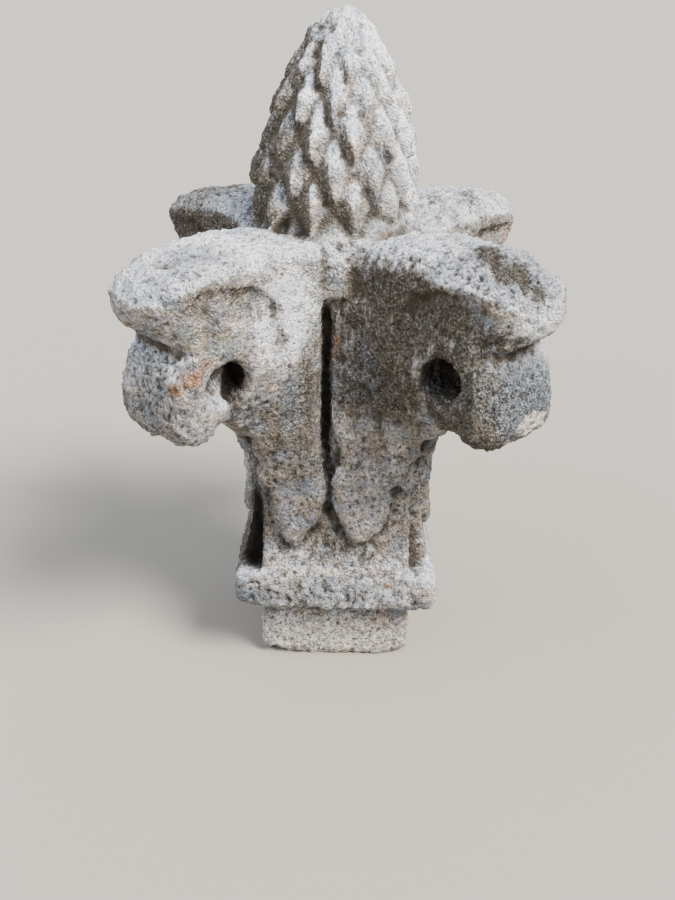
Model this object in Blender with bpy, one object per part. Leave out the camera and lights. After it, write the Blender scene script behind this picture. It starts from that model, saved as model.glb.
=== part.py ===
"""Carved stone finial: square tenon, base moulding, four curled leaf crockets and a pine cone.

One block of weathered limestone. The origin is the middle of the tenon's underside, +Z is up,
the arms of the shaft face along X and Y, and the crockets stand on the diagonals. The front is -Y.
"""

import math

import bmesh
import bpy
from mathutils import Matrix, Vector
from mathutils.geometry import delaunay_2d_cdt

MM = 0.001
ROOT_2 = math.sqrt(2.0)

# Base: a square tenon under a square moulding
TENON_HALF = 50.5 * MM
TENON_HEIGHT = 48.5 * MM
TENON_WORN_EDGE = 2.5 * MM
MOULDING_HALF = 66.5 * MM
MOULDING_TOP = 76.0 * MM
MOULDING_ROUND = 4.0 * MM
BASE_CORNER_RADIUS = 5.0 * MM

# Shaft: a square with rebated corners and an upright groove between the leaves of each face
GROOVE_HALF = 3.0 * MM
GROOVE_FLOOR_SHARE = 0.8
GROOVE_LIP_GAP = 0.25 * MM
FRONT_GROOVE_SHIFT = -7.5 * MM

# Crockets: one thick leaf on each diagonal, curled over at the top
LEAF_HALF = 34.0 * MM
LEAF_LEAST_HALF = 5.0 * MM
LEAF_CROWN = (13.0 * MM, 0.35)
LOBE_CROWN = (12.0 * MM, 0.45)
CROWN_POWER = 2.3
LOBE_TOP = 252.0 * MM
LOBE_BLEND = 4.0 * MM
TONGUE_TAPER_START = 112.0 * MM
TONGUE_REACH = 161.0 * MM
TONGUE_BEYOND = 6.0 * MM
TONGUE_POWERS = (2.2, 0.6)
FLANK_TOP = 226.0 * MM
FLANK_INNER = 43.0 * MM
FLANK_OUTER = 108.0 * MM
FLANK_FADE = (96.0 * MM, 112.0 * MM)
FLANK_SLOPE_PER_METRE = 12.0
BAND_STEP = 3.0 * MM
BAND_SOFTNESS = 1.5 * MM
BAND_FADE_UPWARDS = (205.0 * MM, 235.0 * MM)
BAND_FADE_OUTWARDS = (125.0 * MM, 145.0 * MM)

# Eyes drilled into the leaves' sides; a worn eye runs out towards the lobe and downwards
ROUND_EYE = {"centre": (110.0 * MM, 226.0 * MM), "radii": (14.5 * MM, 14.0 * MM), "depth": 26.0 * MM,
             "outward": 1.0, "downward": 1.0, "softening": 0.0}
WORN_EYE = {"centre": (110.0 * MM, 226.0 * MM), "radii": (12.5 * MM, 12.0 * MM), "depth": 24.0 * MM,
            "outward": 0.6, "downward": 0.36, "softening": 0.42}
EYE_WALL_START = 0.55
EYE_WALL_END = 1.1
EYE_SOFTENING_TURN = (-0.2, 0.6)
EYE_RING_POINTS = 12
EYE_RING_SHARES = (0.4, 0.75, 1.1)

# Leaf tips that hang down on the faces of the shaft
TIP_THICKNESS = 5.5 * MM
TIP_ROUND = 5.0 * MM
TIP_EMBED = 4.3 * MM
TIP_EDGE_SHARE = 0.45
TIP_FADE = (170.0 * MM, 196.0 * MM)
TIP_SINK = 1.25
TIP_GROOVE_GAP = 3.7 * MM

# Pine cone
SCALES_PER_ROW = 12
SCALE_ROW_PITCH = 20.0 * MM
SCALE_FIRST_ROW = 290.0 * MM
SCALE_RELIEF = 6.0 * MM
SCALE_SHARPNESS = 0.85
SCALE_FADE_POWER = 0.9
SCALE_MEAN = 0.55
SCALE_TWIST_PER_ROW = math.radians(-1.3)
CONE_FOOT_OFFSET = -4.5 * MM

# Fineness of the faceted skins: the rings beside an outline and the grid inside them
LEAF_SKIN = ((2.5 * MM, 8.0 * MM), 11.0 * MM)
TIP_SKIN = ((4.0 * MM,), 9.0 * MM)
RING_CLEARANCE = 0.85
GRID_CLEARANCE = 0.6
CONE_STEPS_PER_HALF_SCALE = 2
WELD_DISTANCE = 0.03 * MM

# Side profiles, as (distance out, height) in millimetres
CONE_PROFILE = (
    (45.0, 262), (47.0, 280), (48.5, 300), (48.5, 320), (45.5, 338),
    (39.5, 358), (31.5, 378), (22.5, 395), (13.0, 408), (5.0, 415),
)
LEAF_OUTLINE = (
    (34, 289), (52, 294), (74, 297), (94, 297), (112, 295), (128, 292), (142, 288), (153, 283.5),
    (160, 277), (161.5, 270), (157, 262), (150, 255.5), (143, 250.5), (139.5, 247), (143, 239),
    (148, 227), (150.5, 213), (149.5, 201), (143.5, 193), (134, 190), (124, 192), (114, 196.5),
    (105, 197), (99, 192), (94, 184), (87, 176), (74, 170), (54, 170), (34, 175), (34, 200),
    (34, 228), (34, 256),
)
BAND_LINE = ((138, 277), (124, 279), (109, 279), (96, 276), (85, 268), (79, 256), (75, 243), (72, 228))

# Outlines of the two leaf tips on a face, as (sideways, height) in millimetres
LEFT_TIP = (
    (-10.9, 196), (-10.8, 170), (-9.5, 154), (-7, 138), (-7.5, 126), (-10, 117), (-17, 107),
    (-25, 96.5), (-30, 97.5), (-38, 109), (-41.5, 123), (-42, 136.5), (-49, 137.5), (-50, 146),
    (-48.5, 156), (-52.2, 159), (-53.4, 168), (-51.6, 172.5), (-54.8, 177), (-53, 192),
)
RIGHT_TIP = (
    (50, 194), (54.8, 177), (51.4, 172), (52, 160), (46, 156), (45, 147), (43, 139.5),
    (35, 138.5), (34, 128), (32, 118), (27, 105), (13, 96.5), (7, 103), (3.3, 111),
    (-1, 121), (-2.8, 131), (-2.8, 143), (0.5, 153), (2.2, 162), (-1, 171), (-4.1, 179), (-4.2, 196),
)

# Lost corners: name, middle of the break, size in millimetres, and turns in degrees
CHIPS = (
    ("moulding_corner", (-72.5, -72.5, 46), (60, 26, 26), (("Z", -45), ("X", -32))),
    ("tenon_corner", (-60, -57, 4), (40, 22, 26), (("Z", -40), ("X", -38))),
    ("tenon_edge", (20, -58, -5), (70, 12, 12), (("Z", 3), ("X", -45))),
    ("lobe_right", (121, -97, 188), (24, 46, 22), (("Z", -45), ("Y", 42), ("X", -12))),
    ("lobe_left", (-121, -104, 186), (24, 50, 20), (("Z", 225), ("Y", 35))),
    ("cone_top", (-9, -5, 422), (22, 26, 16), (("Y", 24), ("X", 8))),
)

# Rings of the shaft: height, arm face, corner sideways, inner corner, groove floor, groove lip
SHAFT_RINGS = (
    (62, 64, 48, 48, 64, 64),
    (77, 64, 48, 48, 64, 64),
    (84, 61, 48, 48, 61, 61),
    (98, 57, 48, 48, 57, 57),
    (116, 54, 48, 48, 54, 54),
    (134, 53, 48, 48, 53, 53),
    (150, 53, 49, 48, 51, 53),
    (162, 54.5, 50.5, 49, 48, 53),
    (174, 59, 52.5, 51, 46, 53),
    (186, 65, 52.5, 56, 45, 53),
    (198, 72, 51.5, 60, 44.5, 53),
    (212, 82, 48.5, 63, 44.5, 52.5),
    (228, 88, 45.5, 65, 44.5, 52.5),
    (256, 88, 45, 64, 44, 52),
    (272, 72, 38, 52, 42, 46),
)


def metres(points):
    """Turn a tuple of points in millimetres into metres."""
    return [tuple(value * MM for value in point) for point in points]


def stone():
    """Weathered limestone, pinkish grey and matt."""
    material = bpy.data.materials.new("weathered_limestone")
    material.use_nodes = True
    shader = material.node_tree.nodes["Principled BSDF"]
    shader.inputs["Base Color"].default_value = (0.37, 0.34, 0.30, 1.0)
    shader.inputs["Roughness"].default_value = 0.92
    shader.inputs["Metallic"].default_value = 0.0
    return material


def solid_from(name, mesh_data, collection):
    """Make an object from a bmesh, with its faces turned outwards."""
    bmesh.ops.recalc_face_normals(mesh_data, faces=mesh_data.faces)
    mesh = bpy.data.meshes.new(name)
    mesh_data.to_mesh(mesh)
    mesh_data.free()
    body = bpy.data.objects.new(name, mesh)
    collection.objects.link(body)
    return body


def loft(name, rings, collection):
    """Closed solid through rings of equally many points, capped at both ends."""
    shape = bmesh.new()
    loops = [[shape.verts.new(point) for point in ring] for ring in rings]
    count = len(loops[0])
    for lower, upper in zip(loops, loops[1:]):
        for i in range(count):
            j = (i + 1) % count
            shape.faces.new((lower[i], lower[j], upper[j], upper[i]))
    shape.faces.new(loops[0][::-1])
    shape.faces.new(loops[-1])
    return solid_from(name, shape, collection)


def rounded_square(half, height):
    """Square ring with a small arc at each corner."""
    centre = half - BASE_CORNER_RADIUS
    ring = []
    for corner in range(4):
        for step in range(3):
            turn = math.radians(90 * corner + 45 * step)
            start = math.radians(90 * corner + 45)
            x = centre * ROOT_2 * math.cos(start) + BASE_CORNER_RADIUS * math.cos(turn)
            y = centre * ROOT_2 * math.sin(start) + BASE_CORNER_RADIUS * math.sin(turn)
            ring.append((x, y, height))
    return ring


def base(collection):
    """Tenon and moulding: a square block with a flat shoulder under the rounded moulding."""
    soft = MOULDING_ROUND
    steps = (
        (TENON_HALF - TENON_WORN_EDGE, 0.0),
        (TENON_HALF, 2 * TENON_WORN_EDGE),
        (TENON_HALF, TENON_HEIGHT),
        (MOULDING_HALF - soft / 2, TENON_HEIGHT),
        (MOULDING_HALF, TENON_HEIGHT + soft),
        (MOULDING_HALF, MOULDING_TOP - 2 * soft),
        (MOULDING_HALF - soft / 2, MOULDING_TOP - soft / 2),
        (MOULDING_HALF - 2 * soft, MOULDING_TOP),
    )
    return loft("base", [rounded_square(half, height) for half, height in steps], collection)


def shaft_ring(row):
    """One ring of the shaft: groove, leaf face and rebated corner, four times round."""
    height, face, side, inner, floor, lip = (value * MM for value in row)
    quarter = (
        (-GROOVE_HALF * GROOVE_FLOOR_SHARE, -floor), (-GROOVE_HALF, -lip), (-side, -face),
        (-inner, -inner), (-face, -side), (-lip, -GROOVE_HALF),
        (-floor, -GROOVE_HALF * GROOVE_FLOOR_SHARE),
    )
    ring = []
    for turn in range(4):
        spin = Matrix.Rotation(math.radians(-90 * turn), 3, "Z")
        ring += [spin @ Vector((x, y, height)) for x, y in quarter]
    for i in (0, 1, -1, -2):
        ring[i].x += FRONT_GROOVE_SHIFT
    return ring


def shaft(collection):
    """Shaft with its flared foot; its upper rings fill the heart of the four leaves."""
    return loft("finial", [shaft_ring(row) for row in SHAFT_RINGS], collection)


def smooth_step(low, high, value):
    """0 below low, 1 above high, with a soft turn between."""
    share = min(max((value - low) / (high - low), 0.0), 1.0)
    return share * share * (3 - 2 * share)


def edge_distance(point, outline):
    """Distance from a point to the nearest side of an outline."""
    best = math.inf
    for start, end in zip(outline, outline[1:] + outline[:1]):
        run = (end[0] - start[0], end[1] - start[1])
        away = (point[0] - start[0], point[1] - start[1])
        share = (away[0] * run[0] + away[1] * run[1]) / (run[0] ** 2 + run[1] ** 2)
        share = min(max(share, 0.0), 1.0)
        best = min(best, math.hypot(away[0] - share * run[0], away[1] - share * run[1]))
    return best


def is_inside(point, outline):
    """Whether a point lies inside an outline."""
    inside = False
    for start, end in zip(outline, outline[1:] + outline[:1]):
        if (start[1] > point[1]) != (end[1] > point[1]):
            share = (point[1] - start[1]) / (end[1] - start[1])
            if point[0] < start[0] + share * (end[0] - start[0]):
                inside = not inside
    return inside


def offset_points(line, distance, closed=True):
    """Points beside a line, on its left for a positive distance."""
    count = len(line)
    points = []
    for i, point in enumerate(line):
        before = line[i - 1] if closed or i > 0 else point
        after = line[(i + 1) % count] if closed or i < count - 1 else point
        run = Vector((after[0] - before[0], after[1] - before[1])).normalized()
        points.append((point[0] - run.y * distance, point[1] + run.x * distance))
    return points


def skin_points(outline, skin, extra):
    """Inner points of a skin: rings beside the outline, the points that a detail needs and a grid."""
    rings, grid = skin
    points = [point for point in extra if is_inside(point, outline)]
    for distance in rings:
        for sign in (1, -1):
            for point in offset_points(outline, sign * distance):
                kept = edge_distance(point, outline) > RING_CLEARANCE * distance
                if kept and is_inside(point, outline):
                    points.append(point)
    low = [min(point[i] for point in outline) for i in range(2)]
    high = [max(point[i] for point in outline) for i in range(2)]
    for row in range(int((high[1] - low[1]) / grid) + 1):
        for column in range(int((high[0] - low[0]) / grid) + 2):
            point = (low[0] + (column + 0.5 * (row % 2)) * grid, low[1] + row * grid)
            clear = all(math.dist(point, other) > GRID_CLEARANCE * grid for other in points)
            if clear and is_inside(point, outline) and edge_distance(point, outline) > rings[-1]:
                points.append(point)
    return points


def relief(name, outline, skin, extra, front, back, collection):
    """Closed solid over a plane outline. front and back turn (u, v, distance in) into a point."""
    points = outline + skin_points(outline, skin, extra)
    flat, _, triangles, *_ = delaunay_2d_cdt(
        [Vector(point) for point in points], [], [list(range(len(outline)))], 1, 1e-7)
    shape = bmesh.new()
    skins = []
    for place in (front, back):
        skins.append([shape.verts.new(place(p.x, p.y, edge_distance(p, outline))) for p in flat])
    borders = {}
    for triangle in triangles:
        shape.faces.new([skins[0][i] for i in triangle])
        shape.faces.new([skins[1][i] for i in reversed(triangle)])
        for i, start in enumerate(triangle):
            end = triangle[(i + 1) % 3]
            if borders.pop((end, start), None) is None:
                borders[(start, end)] = True
    for start, end in borders:
        shape.faces.new((skins[0][end], skins[0][start], skins[1][start], skins[1][end]))
    return solid_from(name, shape, collection)


def eye_point(turn, share, eye):
    """Point on a ring around the eye, drawn out where the eye is worn."""
    across, along = share * math.cos(turn), share * math.sin(turn)
    across /= eye["outward"] if across > 0 else 1
    along /= eye["downward"] if along < 0 else 1
    return (eye["centre"][0] + across * eye["radii"][0], eye["centre"][1] + along * eye["radii"][1])


def eye_cut(s, z, eye):
    """How deep the eye is cut at a point of the leaf's side, with a long slope where it is worn."""
    across = (s - eye["centre"][0]) / eye["radii"][0]
    along = (z - eye["centre"][1]) / eye["radii"][1]
    across *= eye["outward"] if across > 0 else 1
    along *= eye["downward"] if along < 0 else 1
    start = EYE_WALL_START - eye["softening"] * smooth_step(*EYE_SOFTENING_TURN, across - along)
    return eye["depth"] * (1 - smooth_step(start, EYE_WALL_END, math.hypot(across, along)))


def band_cut(s, z, band):
    """How far the side of the leaf is set back behind the raised band along its outer edge."""
    nearest = min(band, key=lambda point: math.dist(point, (s, z)))
    i = band.index(nearest)
    start, end = band[max(i - 1, 0)], band[min(i + 1, len(band) - 1)]
    run = Vector((end[0] - start[0], end[1] - start[1])).normalized()
    side = run.x * (z - nearest[1]) - run.y * (s - nearest[0])
    within = smooth_step(-BAND_SOFTNESS, BAND_SOFTNESS, side)
    fade = smooth_step(*BAND_FADE_UPWARDS, z) * (1 - smooth_step(*BAND_FADE_OUTWARDS, s))
    return BAND_STEP * within * fade


def leaf_half_width(s, z, inward, eye, band, lip):
    """Half the leaf's thickness at a point of its side view."""
    on_tongue = smooth_step(LOBE_TOP - LOBE_BLEND, LOBE_TOP + LOBE_BLEND, z)
    radius, edge = (a + on_tongue * (b - a) for a, b in zip(LOBE_CROWN, LEAF_CROWN))
    share = min(inward / radius, 1.0)
    rounding = edge + (1 - edge) * math.sqrt(1 - (1 - share) ** CROWN_POWER)
    taper = (s - TONGUE_TAPER_START) / (TONGUE_REACH + TONGUE_BEYOND - TONGUE_TAPER_START)
    taper = on_tongue * min(max(taper, 0.0), 1.0)
    width = LEAF_HALF * rounding * (1 - taper ** TONGUE_POWERS[0]) ** TONGUE_POWERS[1]
    narrowing = max(FLANK_TOP - z, 0.0) * max(min(s, FLANK_OUTER) - FLANK_INNER, 0.0)
    narrowing *= 1 - smooth_step(*FLANK_FADE, s)
    width -= FLANK_SLOPE_PER_METRE * narrowing
    width -= eye_cut(s, z, eye)
    width -= band_cut(s, z, band)
    return max(min(width, s - lip * ROOT_2), LEAF_LEAST_HALF)


def crocket(name, azimuth, reach, drop, eye, lips, collection):
    """One leaf: its side view stands on the diagonal at this azimuth. lips are the distances of
    its root from the middle of the two faces beside it."""
    root = LEAF_OUTLINE[0][0]
    outline = []
    for s, z in LEAF_OUTLINE:
        share = max(s - root, 0) / (TONGUE_REACH / MM - root)
        outline.append(((s + reach * share) * MM, (z - drop * share) * MM))
    band = metres(BAND_LINE)
    extra = [eye["centre"]]
    for step in range(EYE_RING_POINTS):
        turn = 2 * math.pi * step / EYE_RING_POINTS
        extra += [eye_point(turn, share, eye) for share in EYE_RING_SHARES]
    for distance in (-BAND_SOFTNESS, BAND_SOFTNESS):
        extra += offset_points(band, 1.3 * distance, False)
    along = Vector((math.cos(azimuth), math.sin(azimuth), 0))
    across = Vector((-along.y, along.x, 0))

    def skin(sign, lip):
        def place(s, z, inward):
            half = leaf_half_width(s, z, inward, eye, band, lip)
            return along * s + across * (sign * half) + Vector((0, 0, z))
        return place

    return relief(name, outline, LEAF_SKIN, extra, skin(1, lips[0]), skin(-1, lips[1]), collection)


def crockets(collection):
    """Four leaves. Two keep their round eye, two are worn open into a hook."""
    even = GROOVE_HALF + GROOVE_LIP_GAP
    left_lip = even - FRONT_GROOVE_SHIFT
    right_lip = even + FRONT_GROOVE_SHIFT
    places = (
        ("leaf_front_left", 225, 0.0, 0.0, WORN_EYE, (left_lip, even)),
        ("leaf_front_right", 315, 0.0, 0.0, ROUND_EYE, (even, right_lip)),
        ("leaf_back_right", 45, 0.0, -7.0, WORN_EYE, (even, even)),
        ("leaf_back_left", 135, -9.0, -6.0, ROUND_EYE, (even, even)),
    )
    for name, degrees, reach, drop, eye, lips in places:
        crocket(name, math.radians(degrees), reach, drop, eye, lips, collection)


def blend_rows(rows, height):
    """Values of the shaft's rings at a height between two rings."""
    for lower, upper in zip(rows, rows[1:]):
        if lower[0] <= height <= upper[0]:
            share = (height - lower[0]) / (upper[0] - lower[0])
            return [a + share * (b - a) for a, b in zip(lower, upper)]
    return rows[-1]


def face_out(x, z):
    """How far out the shaft's face lies at a place, between the groove's lip and the corner."""
    _, face, side, _, _, lip = (value * MM for value in blend_rows(SHAFT_RINGS, z / MM))
    share = min(max((abs(x) - GROOVE_HALF) / (side - GROOVE_HALF), 0.0), 1.2)
    return lip + share * (face - lip)


def leaf_tip(name, outline, turn, collection):
    """Hanging tip of a leaf, raised on one face of the shaft."""
    spin = Matrix.Rotation(turn, 3, "Z")

    def front(x, z, inward):
        share = min(inward / TIP_ROUND, 1.0)
        rounding = TIP_EDGE_SHARE + (1 - TIP_EDGE_SHARE) * math.sqrt(1 - (1 - share) ** 2)
        raised = TIP_THICKNESS * rounding * (1 - TIP_SINK * smooth_step(*TIP_FADE, z))
        return spin @ Vector((x, -face_out(x, z) - raised, z))

    def back(x, z, inward):
        return spin @ Vector((x, -face_out(x, z) + TIP_EMBED, z))

    return relief(name, outline, TIP_SKIN, [], front, back, collection)


def leaf_tips(collection):
    """Two hanging tips on each of the four faces. Only the front groove stands off centre, and
    on the other faces both tips stay clear of a groove in the middle."""
    for quarter, side in enumerate(("front", "right", "back", "left")):
        turn = math.radians(90 * quarter)
        left, right = metres(LEFT_TIP), metres(RIGHT_TIP)
        if side != "front":
            left = [(min(x, -TIP_GROOVE_GAP), z) for x, z in left]
            right = [(max(x, TIP_GROOVE_GAP), z) for x, z in right]
        leaf_tip("tip_" + side + "_left", left, turn, collection)
        leaf_tip("tip_" + side + "_right", right, turn, collection)


def profile_radius(profile, height):
    """Radius of a turned profile at a height, along a smooth curve through its points."""
    for i in range(len(profile) - 1):
        low, high = profile[i], profile[i + 1]
        if low[1] <= height <= high[1]:
            before = profile[max(i - 1, 0)]
            after = profile[min(i + 2, len(profile) - 1)]
            span = high[1] - low[1]
            share = (height - low[1]) / span
            leave = (high[0] - before[0]) / (high[1] - before[1]) * span
            arrive = (after[0] - low[0]) / (after[1] - low[1]) * span
            square, cube = share * share, share ** 3
            return ((2 * cube - 3 * square + 1) * low[0] + (cube - 2 * square + share) * leave
                    + (3 * square - 2 * cube) * high[0] + (cube - square) * arrive)
    return profile[-1][0]


def scale_relief(row, column):
    """Height of the pointed scales, from 0 in the furrows to 1 at a point. Scales sit where
    row + column is even, and the furrows cross between them."""
    centre_row, centre_column = round(row), round(column)
    if (centre_row + centre_column) % 2:
        if abs(row - centre_row) > abs(column - centre_column):
            centre_row += 1 if row > centre_row else -1
        else:
            centre_column += 1 if column > centre_column else -1
    away = abs(row - centre_row) + abs(column - centre_column)
    return max(1 - away, 0.0) ** SCALE_SHARPNESS


def cone_rings():
    """Rings of points up the cone, lifted by the scales, with a foot below and a worn top."""
    profile = metres(CONE_PROFILE)
    half_scales = 2 * SCALES_PER_ROW
    columns = half_scales * CONE_STEPS_PER_HALF_SCALE
    widest = max(radius for radius, _ in profile)
    top_radius, top_height = profile[-1]
    rings = []
    level = 0
    while True:
        row = level / CONE_STEPS_PER_HALF_SCALE - 1
        height = min(SCALE_FIRST_ROW + row * SCALE_ROW_PITCH, top_height)
        radius = profile_radius(profile, height)
        lean = CONE_FOOT_OFFSET * (top_height - height) / (top_height - SCALE_FIRST_ROW)
        ring = []
        for i in range(columns):
            column = i / CONE_STEPS_PER_HALF_SCALE
            turn = 2 * math.pi * column / half_scales + row * SCALE_TWIST_PER_ROW - math.pi / 2
            relief_here = SCALE_RELIEF * (radius / widest) ** SCALE_FADE_POWER
            lift = relief_here * (scale_relief(row, column) - SCALE_MEAN)
            out = radius + lift if height < top_height else top_radius
            ring.append((lean + out * math.cos(turn), out * math.sin(turn), height))
        rings.append(ring)
        level += 1
        if height == top_height:
            return rings


def cone(collection):
    """Pine cone. Each small square of its skin is split along the slope of its scale."""
    shape = bmesh.new()
    loops = [[shape.verts.new(point) for point in ring] for ring in cone_rings()]
    columns = len(loops[0])
    steps = CONE_STEPS_PER_HALF_SCALE
    for level, (lower, upper) in enumerate(zip(loops, loops[1:])):
        for i in range(columns):
            j = (i + 1) % columns
            row, column = (level + 0.5) / steps, (i + 0.5) / steps
            rising = (row % 2 < 1) != (column % 2 < 1)
            if rising:
                shape.faces.new((lower[i], lower[j], upper[i]))
                shape.faces.new((lower[j], upper[j], upper[i]))
            else:
                shape.faces.new((lower[i], lower[j], upper[j]))
                shape.faces.new((lower[i], upper[j], upper[i]))
    shape.faces.new(loops[0][::-1])
    shape.faces.new(loops[-1])
    return solid_from("cone", shape, collection)


def chip(name, centre, size, turns, collection):
    """A tilted block that breaks a corner away."""
    shape = bmesh.new()
    bmesh.ops.create_cube(shape, size=1.0)
    stretch = Matrix.Diagonal((size[0] * MM, size[1] * MM, size[2] * MM, 1))
    place = Matrix.Translation(Vector(centre) * MM)
    for axis, degrees in turns:
        place = place @ Matrix.Rotation(math.radians(degrees), 4, axis)
    bmesh.ops.transform(shape, matrix=place @ stretch, verts=shape.verts)
    return solid_from(name, shape, collection)


def chips(collection):
    """Corners lost from the moulding, the tenon, two leaves and the top of the cone."""
    for name, centre, size, turns in CHIPS:
        chip(name, centre, size, turns, collection)


def join_stone(body, parts, losses):
    """Unite the carved parts with the shaft, then take the lost corners away."""
    for name, operation, collection in (("carving", "UNION", parts), ("losses", "DIFFERENCE", losses)):
        cut = body.modifiers.new(name, "BOOLEAN")
        cut.operation = operation
        cut.operand_type = "COLLECTION"
        cut.collection = collection
        cut.solver = "EXACT"
        weld = body.modifiers.new(name + "_weld", "WELD")
        weld.merge_threshold = WELD_DISTANCE
        for helper in collection.objects:
            helper.hide_render = True
            helper.display_type = "WIRE"


def main():
    for thing in list(bpy.data.objects):
        bpy.data.objects.remove(thing)
    scene = bpy.context.scene
    parts = bpy.data.collections.new("carved_parts")
    losses = bpy.data.collections.new("lost_corners")
    scene.collection.children.link(parts)
    scene.collection.children.link(losses)
    body = shaft(scene.collection)
    base(parts)
    crockets(parts)
    leaf_tips(parts)
    cone(parts)
    chips(losses)
    join_stone(body, parts, losses)
    body.data.materials.append(stone())


main()
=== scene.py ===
# %% [markdown]
# # A weathered stone finial
# The real thing is one block of limestone, 41.5 cm tall: a square tenon, a moulding, a square
# shaft with rebated corners, four thick leaves that curl over on the diagonals, and a pine cone.
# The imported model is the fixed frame. It gives the true size and the outline of every form, but
# its faces are coarse. This lesson carves the same forms again from the same named sizes, finely,
# then lets the weather work on them.

# %% Load the frame
import math

import bpy
import numpy as np
from mathutils import Matrix, Vector
from mathutils.geometry import delaunay_2d_cdt


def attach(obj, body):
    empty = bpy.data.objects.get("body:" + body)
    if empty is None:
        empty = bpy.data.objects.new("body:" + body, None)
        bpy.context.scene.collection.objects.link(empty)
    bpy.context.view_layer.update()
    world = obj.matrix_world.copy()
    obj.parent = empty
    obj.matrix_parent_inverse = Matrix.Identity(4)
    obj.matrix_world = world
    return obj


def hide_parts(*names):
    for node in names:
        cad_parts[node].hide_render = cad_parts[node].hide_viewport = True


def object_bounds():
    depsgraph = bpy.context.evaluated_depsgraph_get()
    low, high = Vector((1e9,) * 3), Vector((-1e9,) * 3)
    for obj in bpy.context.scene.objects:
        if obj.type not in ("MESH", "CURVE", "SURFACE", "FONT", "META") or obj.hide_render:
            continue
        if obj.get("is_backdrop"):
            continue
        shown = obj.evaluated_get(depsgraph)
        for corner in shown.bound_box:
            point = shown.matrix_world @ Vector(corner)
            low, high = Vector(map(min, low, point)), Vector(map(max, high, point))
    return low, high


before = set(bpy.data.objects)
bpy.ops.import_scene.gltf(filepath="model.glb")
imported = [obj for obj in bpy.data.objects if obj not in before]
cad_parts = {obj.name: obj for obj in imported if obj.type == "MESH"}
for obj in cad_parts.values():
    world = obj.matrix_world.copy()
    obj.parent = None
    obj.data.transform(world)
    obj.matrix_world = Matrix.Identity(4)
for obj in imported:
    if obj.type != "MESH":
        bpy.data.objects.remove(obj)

CAD_LOW, CAD_HIGH = (np.array(corner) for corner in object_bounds())
print("solid model:", (CAD_HIGH - CAD_LOW).round(4), "m")

# %% [markdown]
# ## Helpers
# Lengths are written in millimetres, as a mason would, and turned to metres once. A colour is
# written as the hex value that a screen shows, but Blender mixes light in linear values, so one
# function turns hex into linear. Nodes are made by one small function that also sets and links
# their sockets, and hands back the output, so that one node's output is the next one's input.

# %% Units, colours and nodes
MM = 0.001
MAP_RANGE = "ShaderNodeMapRange"


def linear(hex_colour):
    """Linear red, green, blue and alpha of an sRGB hex colour."""
    values = [int(hex_colour[i:i + 2], 16) / 255 for i in (1, 3, 5)]
    return [v / 12.92 if v <= 0.04045 else ((v + 0.055) / 1.055) ** 2.4 for v in values] + [1.0]


def add(tree, kind, sockets=(), out=0, **settings):
    """Add a node and return one of its outputs, or the node itself where out is None.

    A kind in capitals is an operation of the Math node. The sockets are a list in their own
    order, or else a dictionary by number or name.
    """
    if kind.isupper():
        kind, settings["operation"] = "ShaderNodeMath", kind
    node = tree.nodes.new(kind)
    for name, value in settings.items():
        setattr(node, name, value)
    for name, value in sockets.items() if isinstance(sockets, dict) else enumerate(sockets):
        if isinstance(value, bpy.types.NodeSocket):
            tree.links.new(value, node.inputs[name])
        else:
            node.inputs[name].default_value = value
    return node if out is None else node.outputs[out]


def smooth_step(low, high, value):
    """0 below low, 1 above high, with a soft turn between."""
    share = np.clip((value - low) / (high - low), 0.0, 1.0)
    return share * share * (3 - 2 * share)


def show(name, verts, faces):
    """Make a mesh object at the origin."""
    mesh = bpy.data.meshes.new(name)
    mesh.from_pydata([tuple(v) for v in verts], [], faces)
    piece = bpy.data.objects.new(name, mesh)
    bpy.context.scene.collection.objects.link(piece)
    return piece


print("helpers ready")

# %% [markdown]
# ## The camera
# The photograph looks down on the finial from the front. Its angle was found by fitting one
# camera to the square base, the four leaves and the cone: 26 degrees down, 0.73 m from the middle
# of its foot, with a focal length of 953 pixels on a picture 900 pixels tall. A pixel count
# becomes a lens length by the share of the 36 mm sensor that it covers.

# %% Camera
PICTURE_HEIGHT = 900
FOCAL_PIXELS = 953
SENSOR = 36.0
CAMERA_PLACE = (0.0, -0.5908, 0.4241)
LOOK_DOWN = math.radians(26)
ROLL = math.radians(0.9)

camera_data = bpy.data.cameras.new("photo_camera")
camera_data.sensor_fit = "VERTICAL"
camera_data.sensor_height = SENSOR
camera_data.sensor_width = SENSOR
camera_data.lens = FOCAL_PIXELS / PICTURE_HEIGHT * SENSOR
camera = bpy.data.objects.new("photo_camera", camera_data)
tilt = Matrix.Rotation(math.pi / 2 - LOOK_DOWN, 4, "X")
camera.matrix_world = Matrix.Translation(CAMERA_PLACE) @ tilt @ Matrix.Rotation(ROLL, 4, "Z")
bpy.context.scene.collection.objects.link(camera)
bpy.context.scene.camera = camera
print("lens", round(camera_data.lens, 1), "mm")

# %% [markdown]
# ## How a leaf is carved
# Each leaf is a thick slab that stands on its edge. A mason draws its side view on the slab, cuts
# round it, and then works both sides. The code does the same: a smooth line is drawn through the
# named points of the side view, the inside is filled with fine triangles, and two skins are given
# their height by a rule. A rule over the plane suits relief better than box modelling, because
# every number in it is a size that could be measured on the stone.

# %% Outlines and slabs
ROW_STEP, EDGE_GAP = 0.87, 0.6  # shares of the spacing: between rows, and free along the edge
INSIDE_ONLY, SAME_POINT = 1, 1e-7


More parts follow.
